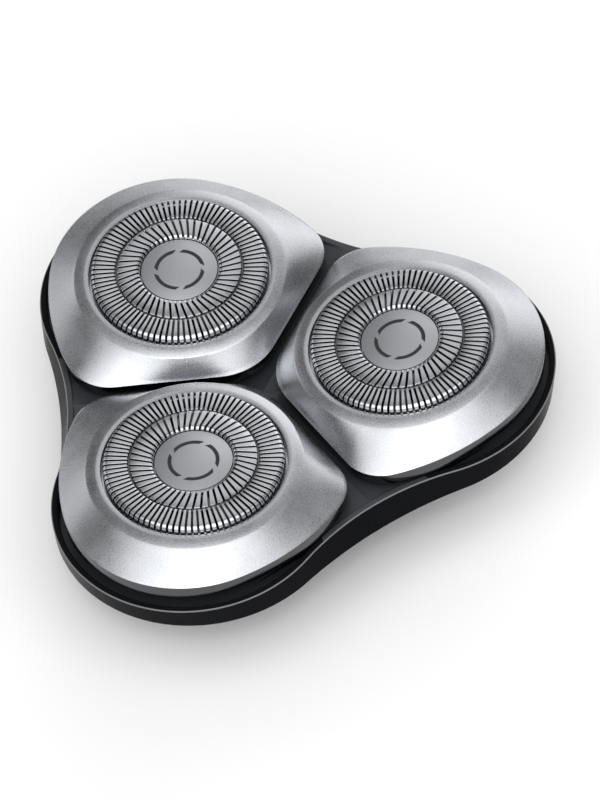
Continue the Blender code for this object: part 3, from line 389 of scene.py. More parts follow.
# metal is 1 or 0, size counts grains a metre, spread and gloss are how far colour and roughness vary
recipes = {
    "satin": {"name": "satinSilver", "colour": (0.50, 0.511, 0.537), "metal": 1, "rough": 0.29,
              "size": 5200, "bump": 0.03, "spread": 0.14, "gloss": 0.07},
    # the skirt's finish: polished, with a dark colour that is painted shade standing in for its dark
    # reflection
    "polishedPaintedDark": {"name": "skirtPaintedDark", "colour": (0.1, 0.1, 0.105), "metal": 1, "rough": 0.16,
                 "size": 2000, "bump": 0.002, "spread": 0.04, "gloss": 0.03},
    "cap": {"name": "capSteel", "colour": (0.57, 0.582, 0.61), "metal": 1, "rough": 0.24,
            "size": 9000, "bump": 0.001, "spread": 0.05, "gloss": 0.04},
    # slot flanks: near black, painted shade for the unlit slots
    "flank": {"name": "slotFlankPaintedShade", "colour": (0.008, 0.008, 0.009), "metal": 0, "rough": 0.6,
              "size": 9000, "bump": 0.001, "spread": 0.1, "gloss": 0.05, "specular": 0.03},
    # groove ring: a dark steel, painted shade for the narrow channel between the tracks
    "groove": {"name": "grooveSteelPaintedShade", "colour": (0.14, 0.143, 0.15), "metal": 1, "rough": 0.3,
               "size": 9000, "bump": 0.001, "spread": 0.05, "gloss": 0.04},
    "ink": {"name": "arcInk", "colour": (0.026, 0.026, 0.029), "metal": 0, "rough": 0.5,
            "size": 8000, "bump": 0.004, "spread": 0.1, "gloss": 0.05, "specular": 0.25},
    "frame": {"name": "frameBlack", "colour": (0.007, 0.0073, 0.0082), "metal": 0, "rough": 0.26,
              "size": 4000, "bump": 0.003, "spread": 0.1, "gloss": 0.05, "specular": 0.012},
    # rim: a paler grey for the rim's rounding, a painted highlight
    "rim": {"name": "rimPaintedHighlight", "colour": (0.16, 0.16, 0.165), "metal": 0, "rough": 0.2,
            "size": 4000, "bump": 0.003, "spread": 0.1, "gloss": 0.04},
    # web: a lighter, more reflective copy of the frame's black for faces that face up, painted light
    "web": {"name": "webPaintedLight", "colour": (0.034, 0.038, 0.043), "metal": 0, "rough": 0.36,
            "size": 4000, "bump": 0.004, "spread": 0.1, "gloss": 0.05},
    "moulded": {"name": "mouldedBlack", "colour": (0.022, 0.022, 0.024), "metal": 0, "rough": 0.45,
                "size": 4500, "bump": 0.02, "spread": 0.12, "gloss": 0.08},
    "rubber": {"name": "sealRubber", "colour": (0.018, 0.018, 0.018), "metal": 0, "rough": 0.75,
               "size": 5000, "bump": 0.02, "spread": 0.15, "gloss": 0.08},
    # cutter blades: a dark steel, painted shade for the blades seen through the slots
    "blade": {"name": "bladeSteelPaintedShade", "colour": (0.13, 0.132, 0.138), "metal": 1, "rough": 0.3,
              "size": 9000, "bump": 0.002, "spread": 0.06, "gloss": 0.05},
    "hub": {"name": "hubPlastic", "colour": (0.08, 0.08, 0.09), "metal": 0, "rough": 0.5,
            "size": 4500, "bump": 0.015, "spread": 0.1, "gloss": 0.06},
    "gear": {"name": "gearAcetal", "colour": (0.75, 0.74, 0.70), "metal": 0, "rough": 0.42,
             "size": 3500, "bump": 0.01, "spread": 0.03, "gloss": 0.06},
    "spring": {"name": "springSteel", "colour": (0.45, 0.45, 0.47), "metal": 1, "rough": 0.28,
               "size": 6000, "bump": 0.004, "spread": 0.06, "gloss": 0.05},
    "screw": {"name": "screwSteel", "colour": (0.38, 0.38, 0.39), "metal": 1, "rough": 0.32,
              "size": 6000, "bump": 0.006, "spread": 0.08, "gloss": 0.06},
}
finishes = {key: makeFinish(**recipe) for key, recipe in recipes.items()}
print("finishes made:", len(finishes))


def wear(piece, finish):
    # the whole piece takes one finish
    piece.data.materials.clear()
    piece.data.materials.append(finish)


def addFinish(piece, finish):
    # a further finish for some faces; gives the number that those faces take
    piece.data.materials.append(finish)
    return len(piece.data.materials) - 1


bezel = {"lobe": 16.3, "lobeShift": 2.05, "lobeTurn": 50.5, "flank": 29.2, "ear": 6.0, "nose": 8.3,
         "spacing": 0.9, "lipBore": 11.95, "lipTop": -0.47, "lipWidth": 0.62, "lipBottom": -1.75,
         "lipRound": 0.06, "chamferWidth": 1.3, "chamferDrop": 0.3, "chamferEnd": 1.5, "edge": -3.35,
         "foot": -5.2, "footInset": 0.08, "footRound": 0.07, "wall": 0.9, "edgeRound": 0.14,
         "edgeShape": ((0.5, 0.1), (0.1, 0.5), (0, 1.1)), "ringBore": 13.75,
         "slopeRings": 14, "slopeStart": 0.02, "facets": 360, "smooth": 24, "skirtSlope": 0.35,
         "skirtDrop": 0.1}


def bezelOutline(inset):
    # a wide lobe outside, flanks, two ears, straight edges and a nose to the middle
    b = bezel
    sine, cosine = math.sin(sixth), math.cos(sixth)
    corner = -(heads["pitch"] - b["spacing"] / 2 / sine) + inset / sine
    lobe, flank, ear, nose = (b[key] - inset for key in ("lobe", "flank", "ear", "nose"))
    lobeTurn, edgeTurn = math.radians(b["lobeTurn"]), sixth + math.pi / 2
    backX, backY = spot(b["flank"] - b["lobe"], lobeTurn)
    flankX, flankY = b["lobeShift"] - backX, -backY
    # the ear's centre slides along the straight edge until the ear touches the flank
    startX, startY = corner + ear * sine, -ear * cosine
    gapX, gapY = startX - flankX, startY - flankY
    half = gapX * cosine + gapY * sine
    slide = -half + math.sqrt(half ** 2 - gapX ** 2 - gapY ** 2 + (flank - ear) ** 2)
    earX, earY = startX + slide * cosine, startY + slide * sine
    noseX = corner + nose / sine
    lobeEnd, flankEnd = spot(lobe, lobeTurn), spot(ear, headingOf(earX - flankX, earY - flankY))
    earEnd, noseStart = spot(ear, edgeTurn), spot(nose, edgeTurn)
    edgeX, edgeY = earX + earEnd[0], earY + earEnd[1]
    distance = edgeX * math.cos(edgeTurn) + edgeY * math.sin(edgeTurn)
    ends = (headingOf(b["lobeShift"] + lobeEnd[0], lobeEnd[1]),
            headingOf(earX + flankEnd[0], earY + flankEnd[1]),
            headingOf(edgeX, edgeY), headingOf(noseX + noseStart[0], noseStart[1]))

    def reach(angle):
        folded = abs((angle + math.pi) % fullTurn - math.pi)
        if folded < ends[0]:
            return crossing(folded, b["lobeShift"], 0, lobe)
        if folded < ends[1]:
            return crossing(folded, flankX, flankY, flank)
        if folded < ends[2]:
            return crossing(folded, earX, earY, ear)
        if folded < ends[3]:
            return distance / math.cos(folded - edgeTurn)
        return crossing(folded, noseX, 0, nose)
    return reach


def between(radius, outline, share):
    return lambda angle: radius * (1 - share) + outline(angle) * share


def makeBezel():
    b = bezel
    bore, lipEnd, top = b["lipBore"], b["lipBore"] + b["lipWidth"], b["lipTop"]
    crease, creaseZ = lipEnd + b["chamferWidth"], top - b["chamferDrop"]
    soft, rim, edge, foot = b["lipRound"], b["edgeRound"], b["edge"], b["foot"]
    grade = b["chamferDrop"] / b["chamferWidth"]
    stop = soft * b["chamferEnd"]
    rings = [(bore, b["lipBottom"]), (bore, top - soft), (bore + soft * bend, top - soft * bend),
             (bore + soft, top), (lipEnd - soft, top), (lipEnd + soft, top - grade * soft),
             (crease - stop, creaseZ + grade * stop)]
    for k in range(b["slopeRings"] + 1):
        share = b["slopeStart"] + (1 - b["slopeStart"]) * k / (b["slopeRings"] + 1)
        reach = between(crease, bezelOutline(rim * share), share)
        rings.append((reach, creaseZ - (creaseZ - edge) * share))
    # the edge's rounding, the upright skirt, its foot and the hollow underneath
    inset, turn = b["footInset"], b["footRound"]
    rings += [(bezelOutline(rim * inwards), edge - rim * down) for inwards, down in b["edgeShape"]]
    rings += [(bezelOutline(inset), foot + turn), (bezelOutline(inset + turn), foot),
              (bezelOutline(b["wall"]), foot), (b["ringBore"], b["lipBottom"])]
    return ringStack("bezelCover", rings, b["facets"], smooth=b["smooth"])


def paintSkirt(piece):
    # the bezel's upright skirt is polished and takes a much darker metal than the blasted rest: the dark
    # colour is painted shade for the skirt's dark reflection
    polishedPaintedDark = addFinish(piece, finishes["polishedPaintedDark"])
    top = (bezel["edge"] - bezel["skirtDrop"]) * mm
    for face in piece.data.polygons:
        if abs(face.normal.z) < bezel["skirtSlope"] and face.center.z < top:
            face.material_index = polishedPaintedDark


guard = {"radius": 11.65, "wall": 0.3, "outerBars": 90, "innerBars": 50, "outerSlot": 0.29,
         "innerSlot": 0.3, "swirl": 6.0, "chamfer": 0.02, "grooveFrom": 8.1, "grooveTo": 8.46,
         "grooveTop": -0.05, "grooveThick": 0.15, "recess": 5.15, "recessFloor": -0.8,
         "recessEdge": (0.12, 0.2), "sideTop": -0.85, "sideRound": 0.05, "flangeTop": -2.05,
         "flange": 12.45, "flangeFoot": -2.6, "facets": 180, "smooth": 35, "shadedFlankTurn": 0.85,
         "outerPath": ((8.36, 0.02), (8.38, 0.20), (8.45, 0.29), (8.58, 0.33), (11.02, 0.33),
                       (11.30, 0.26), (11.52, 0.06), (11.64, -0.26), (11.65, -0.95)),
         "innerPath": ((5.13, -0.40), (5.17, -0.06), (5.28, 0.18), (5.46, 0.30), (5.70, 0.33),
                       (8.00, 0.33), (8.12, 0.29), (8.18, 0.20), (8.20, 0.02))}


def paintFlankShade(piece):
    # the flanks of a bar face the slots and take a near-black finish, painted shade that makes the slots
    # read dark
    wear(piece, finishes["cap"])
    flank = addFinish(piece, finishes["flank"])
    shape = bmesh.from_edit_mesh(piece.data)
    for face in shape.faces:
        middle = face.calc_center_median()
        around = Vector((-middle.y, middle.x, 0)).normalized()
        if abs(face.normal.dot(around)) > guard["shadedFlankTurn"]:
            face.material_index = flank
    bmesh.update_edit_mesh(piece.data)


def makeBars(name, path, bars, slot, swirl):
    # a bevelled section carried along the cap's profile, as wide as the pitch less the slot
    chamfer, wall = guard["chamfer"], guard["wall"]
    sections = []
    for k, (r, z) in enumerate(path):
        before, after = path[max(k - 1, 0)], path[min(k + 1, len(path) - 1)]
        along = Vector((after[0] - before[0], after[1] - before[1])).normalized()
        lean = swirl * (r - path[0][0]) / (path[-1][0] - path[0][0])
        half = (fullTurn * r / bars - slot) / 2
        corners = ((half, -wall), (half, -chamfer), (half - chamfer, 0), (chamfer - half, 0),
                   (-half, -chamfer), (-half, -wall))
        sections.append([(r - along.y * depth, lean + across / r, z + along.x * depth)
                         for across, depth in corners])
    piece = sweep(name, sections)
    paintFlankShade(piece)
    copyRound(bars)
    smoothen(piece, guard["smooth"])
    return piece


def makeGuard(hand):
    g = guard
    radius, wall, foot, facets = g["radius"], g["wall"], g["flangeFoot"], g["facets"]
    inside, soft, sideTop = radius - wall, g["sideRound"], g["sideTop"]
    side = ringStack("guardSide", [(inside, foot), (g["flange"], foot), (g["flange"], g["flangeTop"]),
                                   (radius, g["flangeTop"]), (radius, sideTop - soft),
                                   (radius - soft, sideTop), (inside, sideTop)], facets)
    near, far, top = g["grooveFrom"], g["grooveTo"], g["grooveTop"]
    low = top - g["grooveThick"]
    groove = ringStack("guardGroove", [(near, low), (far, low), (far, top), (near, top)], facets)
    recess, floor, edge = g["recess"], g["recessFloor"], g["recessEdge"]
    cup = ringStack("guardCup", [(recess - wall, floor - wall), (recess + wall, low),
                                 (recess + wall, low + edge[0]), (recess, low + edge[1]),
                                 (recess, floor)], facets, closed=False)
    outer = makeBars("guardOuterBars", g["outerPath"], g["outerBars"], g["outerSlot"], 0)
    inner = makeBars("guardInnerBars", g["innerPath"], g["innerBars"], g["innerSlot"],
                     hand * math.radians(g["swirl"]))
    # the groove ring wears the darker groove steel, painted shade in the channel
    for piece, finish in ((side, "cap"), (groove, "groove"), (cup, "cap")):
        wear(piece, finishes[finish])
    return joined([outer, inner, side, groove, cup])


disc = {"radius": 5.0, "thick": 0.5, "round": 0.06, "facets": 180, "arcRadius": 3.07, "arcWidth": 0.5,
        "arcLength": 73.5, "arcSlant": 5.0, "arcThick": 0.05, "arcProud": 0.012, "arcSteps": 20,
        "arcCount": 4, "arcStarts": (69.0, 97.8, 76.8)}
discRecipe = {"colour": (0.485, 0.496, 0.52), "metal": 1, "rough": 0.42, "size": 9000, "bump": 0.003,
              "spread": 0.03, "gloss": 0.04, "ring": 1.5}


def makeDisc():
    radius, thick, soft = disc["radius"], disc["thick"], disc["round"]
    rings = [(radius - soft, -thick), (radius, soft - thick), (radius, -soft),
             (radius - soft * bend, -soft * bend), (radius - soft, 0)]
    return ringStack("centreDisc", rings, disc["facets"], closed=False)


def makeArcs(start):
    # flat arcs with slanted ends, let into the disc
    d = disc
    low, high, half = -d["arcThick"], d["arcProud"], d["arcWidth"] / 2
    sections = []
    for k in range(d["arcSteps"] + 1):
        turn = start + d["arcLength"] * k / d["arcSteps"]
        inner, outer = ((d["arcRadius"] + side * half, math.radians(turn - side * d["arcSlant"]))
                        for side in (-1, 1))
        sections.append([(*inner, low), (*outer, low), (*outer, high), (*inner, high)])
    piece = sweep("discArcs", sections)
    copyRound(d["arcCount"])
    clearSelection()
    return piece


shell = {"rimHeight": 15.27, "foot": 11.5, "rimLobe": (19.84, 18.3), "rimWaist": 25.4,
         "footLobe": (18.6, 19.0), "footWaist": 26.6, "wallBreak": 1.2, "rimWall": 0.9,
         "rimRound": 0.14, "footRound": 0.25, "recess": 13.0, "deck": 11.9, "wall": 1.6,
         "well": 12.6, "wellFacets": 128, "ridge": 13.5, "ridgeSlopes": (0.2, 0.12), "ridgeHalf": 0.03,
         "ridgeOverrun": 0.5, "pivotCircle": 18.644, "pivotHeight": 16.006, "ringRoom": 14.1,
         "ringFloor": 13.2, "postInner": 14.15, "postThick": 1.5, "postWidth": 3.2, "postFoot": 12.5,
         "postTop": 17.356, "postRound": 0.2, "hole": 0.85, "holeFacets": 48, "facets": 480, "smooth": 6,
         "highlightDepth": 1.1, "highlightSlopes": (0.3, 0.97), "webReach": 8.0, "webSlope": 0.5,
         "webFrom": -0.1, "webWallFrom": 0.2}


def shellRule(height, inset):
    # outline of the frame's wall at a height, drawn in by an inset
    s = shell
    share = (height - s["foot"]) / (s["rimHeight"] - s["foot"])
    centre = s["footLobe"][0] * (1 - share) + s["rimLobe"][0] * share
    radius = s["footLobe"][1] * (1 - share) + s["rimLobe"][1] * share
    waist = s["footWaist"] * (1 - share) + s["rimWaist"] * share
    return triLobe(centre, radius - inset, waist - inset)


def makeBeam(angle):
    # one ridged beam of the web, from just past the drive axis into the rim's wall
    s = shell
    base = (s["recess"] + s["deck"]) / 2
    clearSelection()
    bpy.ops.mesh.primitive_cube_add(size=2 * mm)
    beam = bpy.context.object
    for v in beam.data.vertices:
        outer = v.co.x > 0
        distance = s["rimWaist"] - s["rimWall"] / 2 if outer else -s["ridgeOverrun"]
        ridge = s["ridge"] + (s["rimHeight"] - s["ridge"]) * max(distance, 0) / s["rimWaist"]
        low = v.co.z < 0
        half = (ridge - base) / s["ridgeSlopes"][1 if outer else 0] if low else s["ridgeHalf"]
        v.co = (distance * mm, math.copysign(half, v.co.y) * mm, (base if low else ridge) * mm)
    settle(beam, Matrix.Rotation(angle, 4, "Z"))
    bpy.ops.object.mode_set(mode="EDIT")
    bpy.ops.mesh.select_all(action="SELECT")
    bpy.ops.mesh.quads_convert_to_tris()
    bpy.ops.object.mode_set(mode="OBJECT")
    return beam


def addPosts(piece):
    # two drilled posts for each head's trunnions
    s = shell
    thick, tall = s["postThick"], s["postTop"] - s["postFoot"]
    size = (s["postWidth"], thick, tall)
    outwards = Matrix.Translation((s["pivotCircle"] * mm, 0, 0))
    for number in heads["numbers"]:
        place = Matrix.Rotation(headAngle(number), 4, "Z") @ outwards
        for side in (-1, 1):
            middle = side * (s["postInner"] + thick / 2)
            post = block((0, middle, s["postFoot"] + tall / 2), size, s["postRound"])
            bore = pin(s["hole"], -2 * thick, 2 * thick, count=s["holeFacets"])
            settle(bore, Matrix.Translation((0, middle * mm, s["pivotHeight"] * mm))
                   @ Matrix.Rotation(math.pi / 2, 4, "X"))
            carve(post, bore)
            settle(post, place)
            carve(piece, post, "UNION")


def makeFrame():
    s = shell
    rim, foot, soft, inner = s["rimHeight"], s["foot"], s["rimRound"], s["rimWall"]
    wallBreak = rim - s["wallBreak"]
    rings = [(shellRule(foot, s["wall"]), s["deck"]), (shellRule(foot, s["wall"]), foot),
             (shellRule(foot, s["footRound"]), foot), (shellRule(foot, 0), foot + s["footRound"]),
             (shellRule(wallBreak, 0), wallBreak), (shellRule(rim, 0), rim - soft),
             (shellRule(rim, soft * bend), rim - soft * bend), (shellRule(rim, soft), rim),
             (shellRule(rim, inner - soft), rim), (shellRule(rim, inner), rim - soft),
             (shellRule(rim, inner), s["recess"])]
    piece = ringStack("frameShell", rings, s["facets"], closed=False)
    for number in heads["numbers"]:
        carve(piece, makeBeam(waistAngle(number)), "UNION")
    top, facets = rim + overrun, s["wellFacets"]
    for number in heads["numbers"]:
        angle = headAngle(number)
        carve(piece, pin(s["well"], foot - overrun, top, *spot(heads["pitch"], angle), facets))
        carve(piece, pin(s["ringRoom"], s["ringFloor"], top, *spot(s["pivotCircle"], angle), facets))
    addPosts(piece)
    smoothen(piece, s["smooth"])
    return piece


def nearWeb(x, y):
    for number in heads["numbers"]:
        outX, outY = spot(1, waistAngle(number))
        if x * outX + y * outY > 0 and abs(y * outX - x * outY) < shell["webReach"] * mm:
            return True
    return False


def paintRim(piece):
    # the rim's outer rounding is painted paler, a painted highlight along the rim's edge; the web, and
    # the rim's inside near it, take a lighter and more reflective black, which is painted light on faces
    # that face up
    s = shell
    paintedHighlight, web = addFinish(piece, finishes["rim"]), addFinish(piece, finishes["web"])
    low = (s["rimHeight"] - s["rimRound"] * s["highlightDepth"]) * mm
    webFrom, wallFrom = ((s["recess"] + s[key]) * mm for key in ("webFrom", "webWallFrom"))
    steep, flat = s["highlightSlopes"]
    for face in piece.data.polygons:
        x, y, z = face.center
        slope = face.normal.z
        outward = face.normal.x * x + face.normal.y * y > 0
        # painted highlight: the outward rounding at the rim's top takes the paler rim finish
        if z > low and steep < slope < flat and outward:
            face.material_index = paintedHighlight
        # painted light: faces that face up, and the rim's inside near the web, take the lighter web
        # finish
        elif slope > s["webSlope"] and webFrom < z < low:
            face.material_index = web
        elif z > wallFrom and nearWeb(x, y) and (slope > s["webSlope"] or not outward):
            face.material_index = web


bowl = {"bottom": 5.0, "top": 11.6, "taper": 4.6, "frameGap": 0.3, "floor": 1.2, "wall": 1.2,
        "round": 0.5, "screwCircle": 17.6, "sink": 2.1, "sinkDepth": 3.0, "bossWall": 0.7,
        "bossFrom": 0.6, "shaftHole": 3.3, "shaftDepth": 3.0, "shaftFacets": 96, "facets": 360,
        "smooth": 25}


def bowlRule(height, inset):
    b, s = bowl, shell
    gap = s["wall"] + b["frameGap"] + b["taper"] * (b["top"] - height) / (b["top"] - b["bottom"])
    return triLobe(s["footLobe"][0], s["footLobe"][1] - gap - inset, s["footWaist"] - gap - inset)


def makeBowl():
    b = bowl
    low, high, soft, sink = b["bottom"], b["top"], b["round"], b["sink"]
    floor = low + b["floor"]
    rings = [(bowlRule(low, soft), low), (bowlRule(low, soft * bend), low + soft * bend),
             (bowlRule(low + soft, 0), low + soft), (bowlRule(high, 0), high),
             (bowlRule(high, b["wall"]), high), (bowlRule(floor, b["wall"]), floor)]
    piece = ringStack("housingBowl", rings, b["facets"], closed=False)
    carve(piece, pin(b["shaftHole"], low - overrun, low + b["shaftDepth"], count=b["shaftFacets"]))
    for number in heads["numbers"]:
        x, y = spot(b["screwCircle"], waistAngle(number))
        carve(piece, pin(sink + b["bossWall"], low + b["bossFrom"], high, x, y), "UNION")
        carve(piece, pin(sink, low - overrun, low + b["sinkDepth"], x, y))
    smoothen(piece, b["smooth"])
    return piece


collar = {"bore": 11.6, "outer": 13.4, "height": 4.7, "flange": 15.0, "flangeThick": 1.0,
          "round": 0.25, "lugRise": 1.0, "lugHeight": 1.2, "lugWidth": 1.1, "lugLength": 6.0,
          "lugRoot": 0.5, "lugRound": 0.15, "sealWire": 0.7, "sealGap": 0.3, "sealSteps": 16,
          "facets": 180, "smooth": 30}


def makeCollar():
    c = collar
    bore, outer, flange, top, soft = c["bore"], c["outer"], c["flange"], c["height"], c["round"]
    ledge = top - c["flangeThick"]
    rings = [(bore, soft), (bore + soft, 0), (outer - soft, 0), (outer, soft), (outer, ledge),
             (flange - soft, ledge), (flange, ledge + soft), (flange, top - soft),
             (flange - soft, top), (bore + soft, top), (bore, top - soft)]
    piece = ringStack("handleCollar", rings, c["facets"])
    for number in heads["numbers"]:
        lug = block((outer + (c["lugWidth"] - c["lugRoot"]) / 2, 0, c["lugRise"] + c["lugHeight"] / 2),
                    (c["lugWidth"] + c["lugRoot"], c["lugLength"], c["lugHeight"]), c["lugRound"])
        settle(lug, Matrix.Rotation(headAngle(number), 4, "Z"))
        carve(piece, lug, "UNION")
    smoothen(piece, c["smooth"])
    return piece


def makeSeal():
    # a round rubber ring under the collar's flange
    c = collar
    wire = c["sealWire"] / 2
    height = c["height"] - c["flangeThick"] - c["sealGap"] - wire
    clearSelection()
    bpy.ops.mesh.primitive_torus_add(major_radius=(c["outer"] + c["sealGap"] + wire) * mm,
                                     minor_radius=wire * mm, major_segments=c["facets"],
                                     minor_segments=c["sealSteps"], location=(0, 0, height * mm))
    piece = bpy.context.object
    bpy.ops.object.transform_apply(location=True)
    bpy.ops.object.shade_smooth()
    return piece


screw = {"head": 1.8, "headLow": 6.6, "headTop": 7.7, "shank": 0.8, "length": 5.6, "slot": 0.42,
         "slotLength": 2.2, "slotDepth": 0.6, "crown": 0.25,
         "crownRings": ((0.45, 0), (0.8, 0.35), (1, 1.6)), "facets": 48}


def makeScrew():
    # domed head with a cross recess, seen from below
    s = screw
    low, top = s["headLow"], s["headTop"]
    rings = [(s["head"] * across, low + s["crown"] * rise) for across, rise in s["crownRings"]]
    rings += [(s["head"], top), (s["shank"], top), (s["shank"], top + s["length"])]
    piece = ringStack("housingScrew", rings, s["facets"], closed=False)
    for size in ((s["slotLength"], s["slot"]), (s["slot"], s["slotLength"])):
        carve(piece, block((0, 0, low), (*size, 2 * s["slotDepth"])))
    return piece


def stand(piece, name, body, node=None):
    # names a finished piece, hangs it on its body and lets it stand for its CAD node
    piece.name = piece.data.name = name
    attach(piece, body)
    if node:
        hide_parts(node)


bezelPattern = makeBezel()
wear(bezelPattern, finishes["satin"])
paintSkirt(bezelPattern)
discPattern = makeDisc()
print("patterns made")

for number in heads["numbers"]:
    place, tilting, pressed = headPlace(number), "head_%d" % number, "guard_%d" % number
    cover = copyOf(bezelPattern, "bezelCover_%d" % number)
    settle(cover, place)
    stand(cover, cover.name, tilting, "bezel_%d" % number)

    cap = makeGuard(heads["swirl"][number - 1])
    settle(cap, place)
    stand(cap, "guardCap_%d" % number, pressed, "guard_%d" % number)

    plate = copyOf(discPattern, "centrePlate_%d" % number)
    wear(plate, makeFinish("discSteel_%d" % number, place=place, **discRecipe))
    settle(plate, place)
    stand(plate, plate.name, pressed, "centre_disc_%d" % number)

    arcs = makeArcs(disc["arcStarts"][number - 1])
    wear(arcs, finishes["ink"])
    settle(arcs, place)
    stand(arcs, "plateArcs_%d" % number, pressed)
    print("head", number, "made")

bpy.data.objects.remove(bezelPattern)
bpy.data.objects.remove(discPattern)

frameShell = makeFrame()
wear(frameShell, finishes["frame"])
paintRim(frameShell)
stand(frameShell, "frameShell", "frame", "top_frame")
housingBowl = makeBowl()
wear(housingBowl, finishes["moulded"])
stand(housingBowl, "housingBowl", "frame", "lower_housing")
handleCollar = makeCollar()
wear(handleCollar, finishes["moulded"])
stand(handleCollar, "handleCollar", "frame", "coupling_collar")
sealRing = makeSeal()
wear(sealRing, finishes["rubber"])
stand(sealRing, "sealRing", "frame", "collar_seal")
screwPattern = makeScrew()
for number in heads["numbers"]:
    x, y = spot(bowl["screwCircle"], waistAngle(number))
    fixing = copyOf(screwPattern, "housingScrew_%d" % number)
    wear(fixing, finishes["screw"])
    settle(fixing, Matrix.Translation((x * mm, y * mm, 0)))
    stand(fixing, fixing.name, "frame", "screw_%d" % number)
bpy.data.objects.remove(screwPattern)
print("frame, bowl, collar and screws made")

# CAD nodes that stay, each with a finish
innerFinishes = {"gear_cover": "moulded", "drive_gear": "gear"}
for number in heads["numbers"]:
    innerFinishes.update({"pivot_ring_%d" % number: "moulded", "cutter_blades_%d" % number: "blade",
                          "cutter_hub_%d" % number: "hub", "spindle_gear_%d" % number: "gear",
                          "spindle_tip_%d" % number: "hub", "spindle_spring_%d" % number: "spring"})
for node, finish in innerFinishes.items():
    wear(frame["nodes"][node], finishes[finish])
print("inner nodes finished:", len(innerFinishes))

# places, sizes and reaches in metres, power in watts
# a glow is an azimuth, an elevation and a width in degrees, and a strength
studio = {"floorSize": 4.0, "poolPlace": (0.016, -0.0135), "poolTurn": -27.4,
          "poolReach": (0.095, 0.065), "poolEdge": 2.5, "poolLightColour": (0.96, 0.96, 0.96),
          "farShadeColour": (0.38, 0.38, 0.39), "paperRough": 0.8, "paperSpecular": 0.2, "base": 0.15,
          "glowCore": 0.3,
          "glows": ((146, 54, 62, 1.86), (325, 49, 22, 0.7), (306, 13, 35, 1.5), (21, 20, 20, 0.95),
                    (270, 47, 23, 0.26)),
          "keyBox": {"azimuth": 152, "elevation": 58, "distance": 0.8, "size": 0.12, "power": 0.6}}


def makeFloor():
    # pale paper under the object with a painted pool of light: an oval that falls off to a painted grey
    # further away
    clearSelection()
    bpy.ops.mesh.primitive_plane_add(size=studio["floorSize"], location=(0, 0, 0))
    floor = bpy.context.object
    floor.name = "studioFloor"
    paper = bpy.data.materials.new("studioPaperPaintedPool")
    paper.use_nodes = True
    tree = paper.node_tree
    shader = tree.nodes["Principled BSDF"]
    shader.inputs["Roughness"].default_value = studio["paperRough"]
    shader.inputs["Specular IOR Level"].default_value = studio["paperSpecular"]
    coords = tree.nodes.new("ShaderNodeTexCoord")
    pool = tree.nodes.new("ShaderNodeMapping")
    pool.vector_type = "TEXTURE"
    pool.inputs["Location"].default_value = (*studio["poolPlace"], 0)
    pool.inputs["Rotation"].default_value = (0, 0, math.radians(studio["poolTurn"]))
    pool.inputs["Scale"].default_value = (*studio["poolReach"], 1)
    tree.links.new(coords.outputs["Object"], pool.inputs["Vector"])
    offset = tree.nodes.new("ShaderNodeVectorMath")
    offset.operation = "LENGTH"
    tree.links.new(pool.outputs["Vector"], offset.inputs[0])
    fade = tree.nodes.new("ShaderNodeMapRange")
    fade.interpolation_type = "SMOOTHSTEP"
    fade.inputs["From Min"].default_value = 1
    fade.inputs["From Max"].default_value = studio["poolEdge"]
    tree.links.new(offset.outputs["Value"], fade.inputs["Value"])
    # painted light: pale inside the oval, painted shade further out
    ramp = tree.nodes.new("ShaderNodeValToRGB")
    ramp.color_ramp.elements[0].color = (*studio["poolLightColour"], 1)
    ramp.color_ramp.elements[1].color = (*studio["farShadeColour"], 1)
    tree.links.new(fade.outputs["Result"], ramp.inputs["Fac"])
    tree.links.new(ramp.outputs["Color"], shader.inputs["Base Color"])
    floor.data.materials.append(paper)


def towards(azimuth, elevation):
    # azimuth is counted from +x, anticlockwise
    x, y = spot(math.cos(math.radians(elevation)), math.radians(azimuth))
    return Vector((x, y, math.sin(math.radians(elevation))))


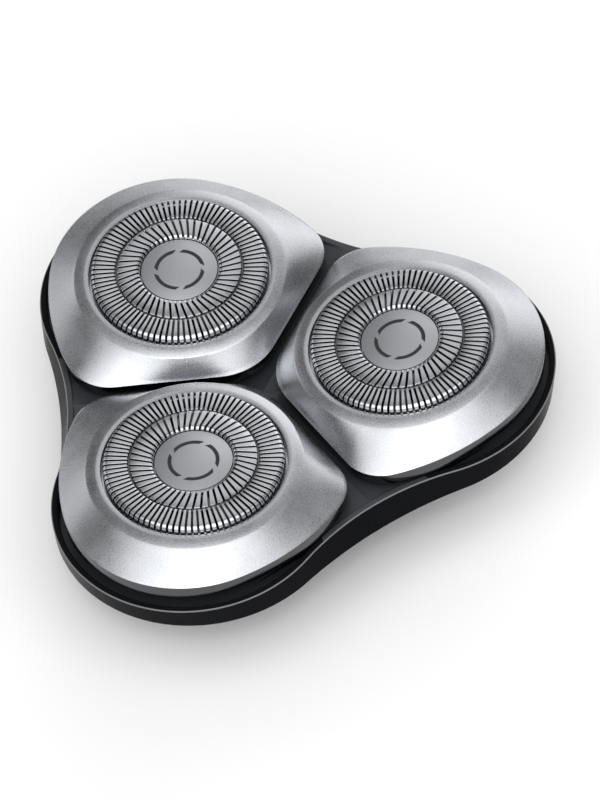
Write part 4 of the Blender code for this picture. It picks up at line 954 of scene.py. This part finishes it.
def makeWorld():
    # an even grey with soft glows
    world = bpy.data.worlds.new("studioLight")
    world.use_nodes = True
    tree = world.node_tree
    coords = tree.nodes.new("ShaderNodeTexCoord")
    total = None
    for azimuth, elevation, width, strength in studio["glows"]:
        nearness = tree.nodes.new("ShaderNodeVectorMath")
        nearness.operation = "DOT_PRODUCT"
        nearness.inputs[1].default_value = towards(azimuth, elevation)
        tree.links.new(coords.outputs["Generated"], nearness.inputs[0])
        soft = tree.nodes.new("ShaderNodeMapRange")
        soft.interpolation_type = "SMOOTHERSTEP"
        soft.inputs["From Min"].default_value = math.cos(math.radians(width))
        soft.inputs["From Max"].default_value = math.cos(math.radians(width * studio["glowCore"]))
        soft.inputs["To Max"].default_value = strength
        tree.links.new(nearness.outputs["Value"], soft.inputs["Value"])
        glow = soft.outputs["Result"]
        total = glow if total is None else mathNode(tree, "ADD", total, glow)
    total = mathNode(tree, "ADD", total, studio["base"])
    background = tree.nodes["Background"]
    background.inputs["Color"].default_value = (1, 1, 1, 1)
    tree.links.new(total, background.inputs["Strength"])
    bpy.context.scene.world = world


def addLamp(name, azimuth, elevation, distance, size, power):
    # a square soft box that looks at the object's middle
    lamp = bpy.data.lights.new(name, "AREA")
    lamp.size = size
    lamp.energy = power
    box = bpy.data.objects.new(name, lamp)
    bpy.context.scene.collection.objects.link(box)
    box.location = towards(azimuth, elevation) * distance
    box.rotation_euler = (-box.location).to_track_quat("-Z", "Y").to_euler()


makeFloor()
makeWorld()
addLamp("keyBox", **studio["keyBox"])

# the camera's place in metres, its directions, and its focal length and image height in pixels
view = {"place": (-0.4108, 0.2076, 0.5771), "right": (-0.557, -0.825, -0.094),
        "ahead": (0.560, -0.290, -0.776), "focal": 5620.6, "imageHeight": 800, "sensor": 36.0}
lens = bpy.data.cameras.new("photoCamera")
lens.sensor_width = view["sensor"]
lens.lens = view["focal"] * view["sensor"] / view["imageHeight"]
camera = bpy.data.objects.new("photoCamera", lens)
bpy.context.scene.collection.objects.link(camera)
back = -Vector(view["ahead"]).normalized()
right = Vector(view["right"])
right = (right - back * right.dot(back)).normalized()
turn = Matrix((right, back.cross(right), back)).transposed().to_4x4()
camera.matrix_world = Matrix.Translation(view["place"]) @ turn
bpy.context.scene.camera = camera
bpy.context.scene.view_settings.view_transform = "Standard"
print("floor, lamps and camera made")
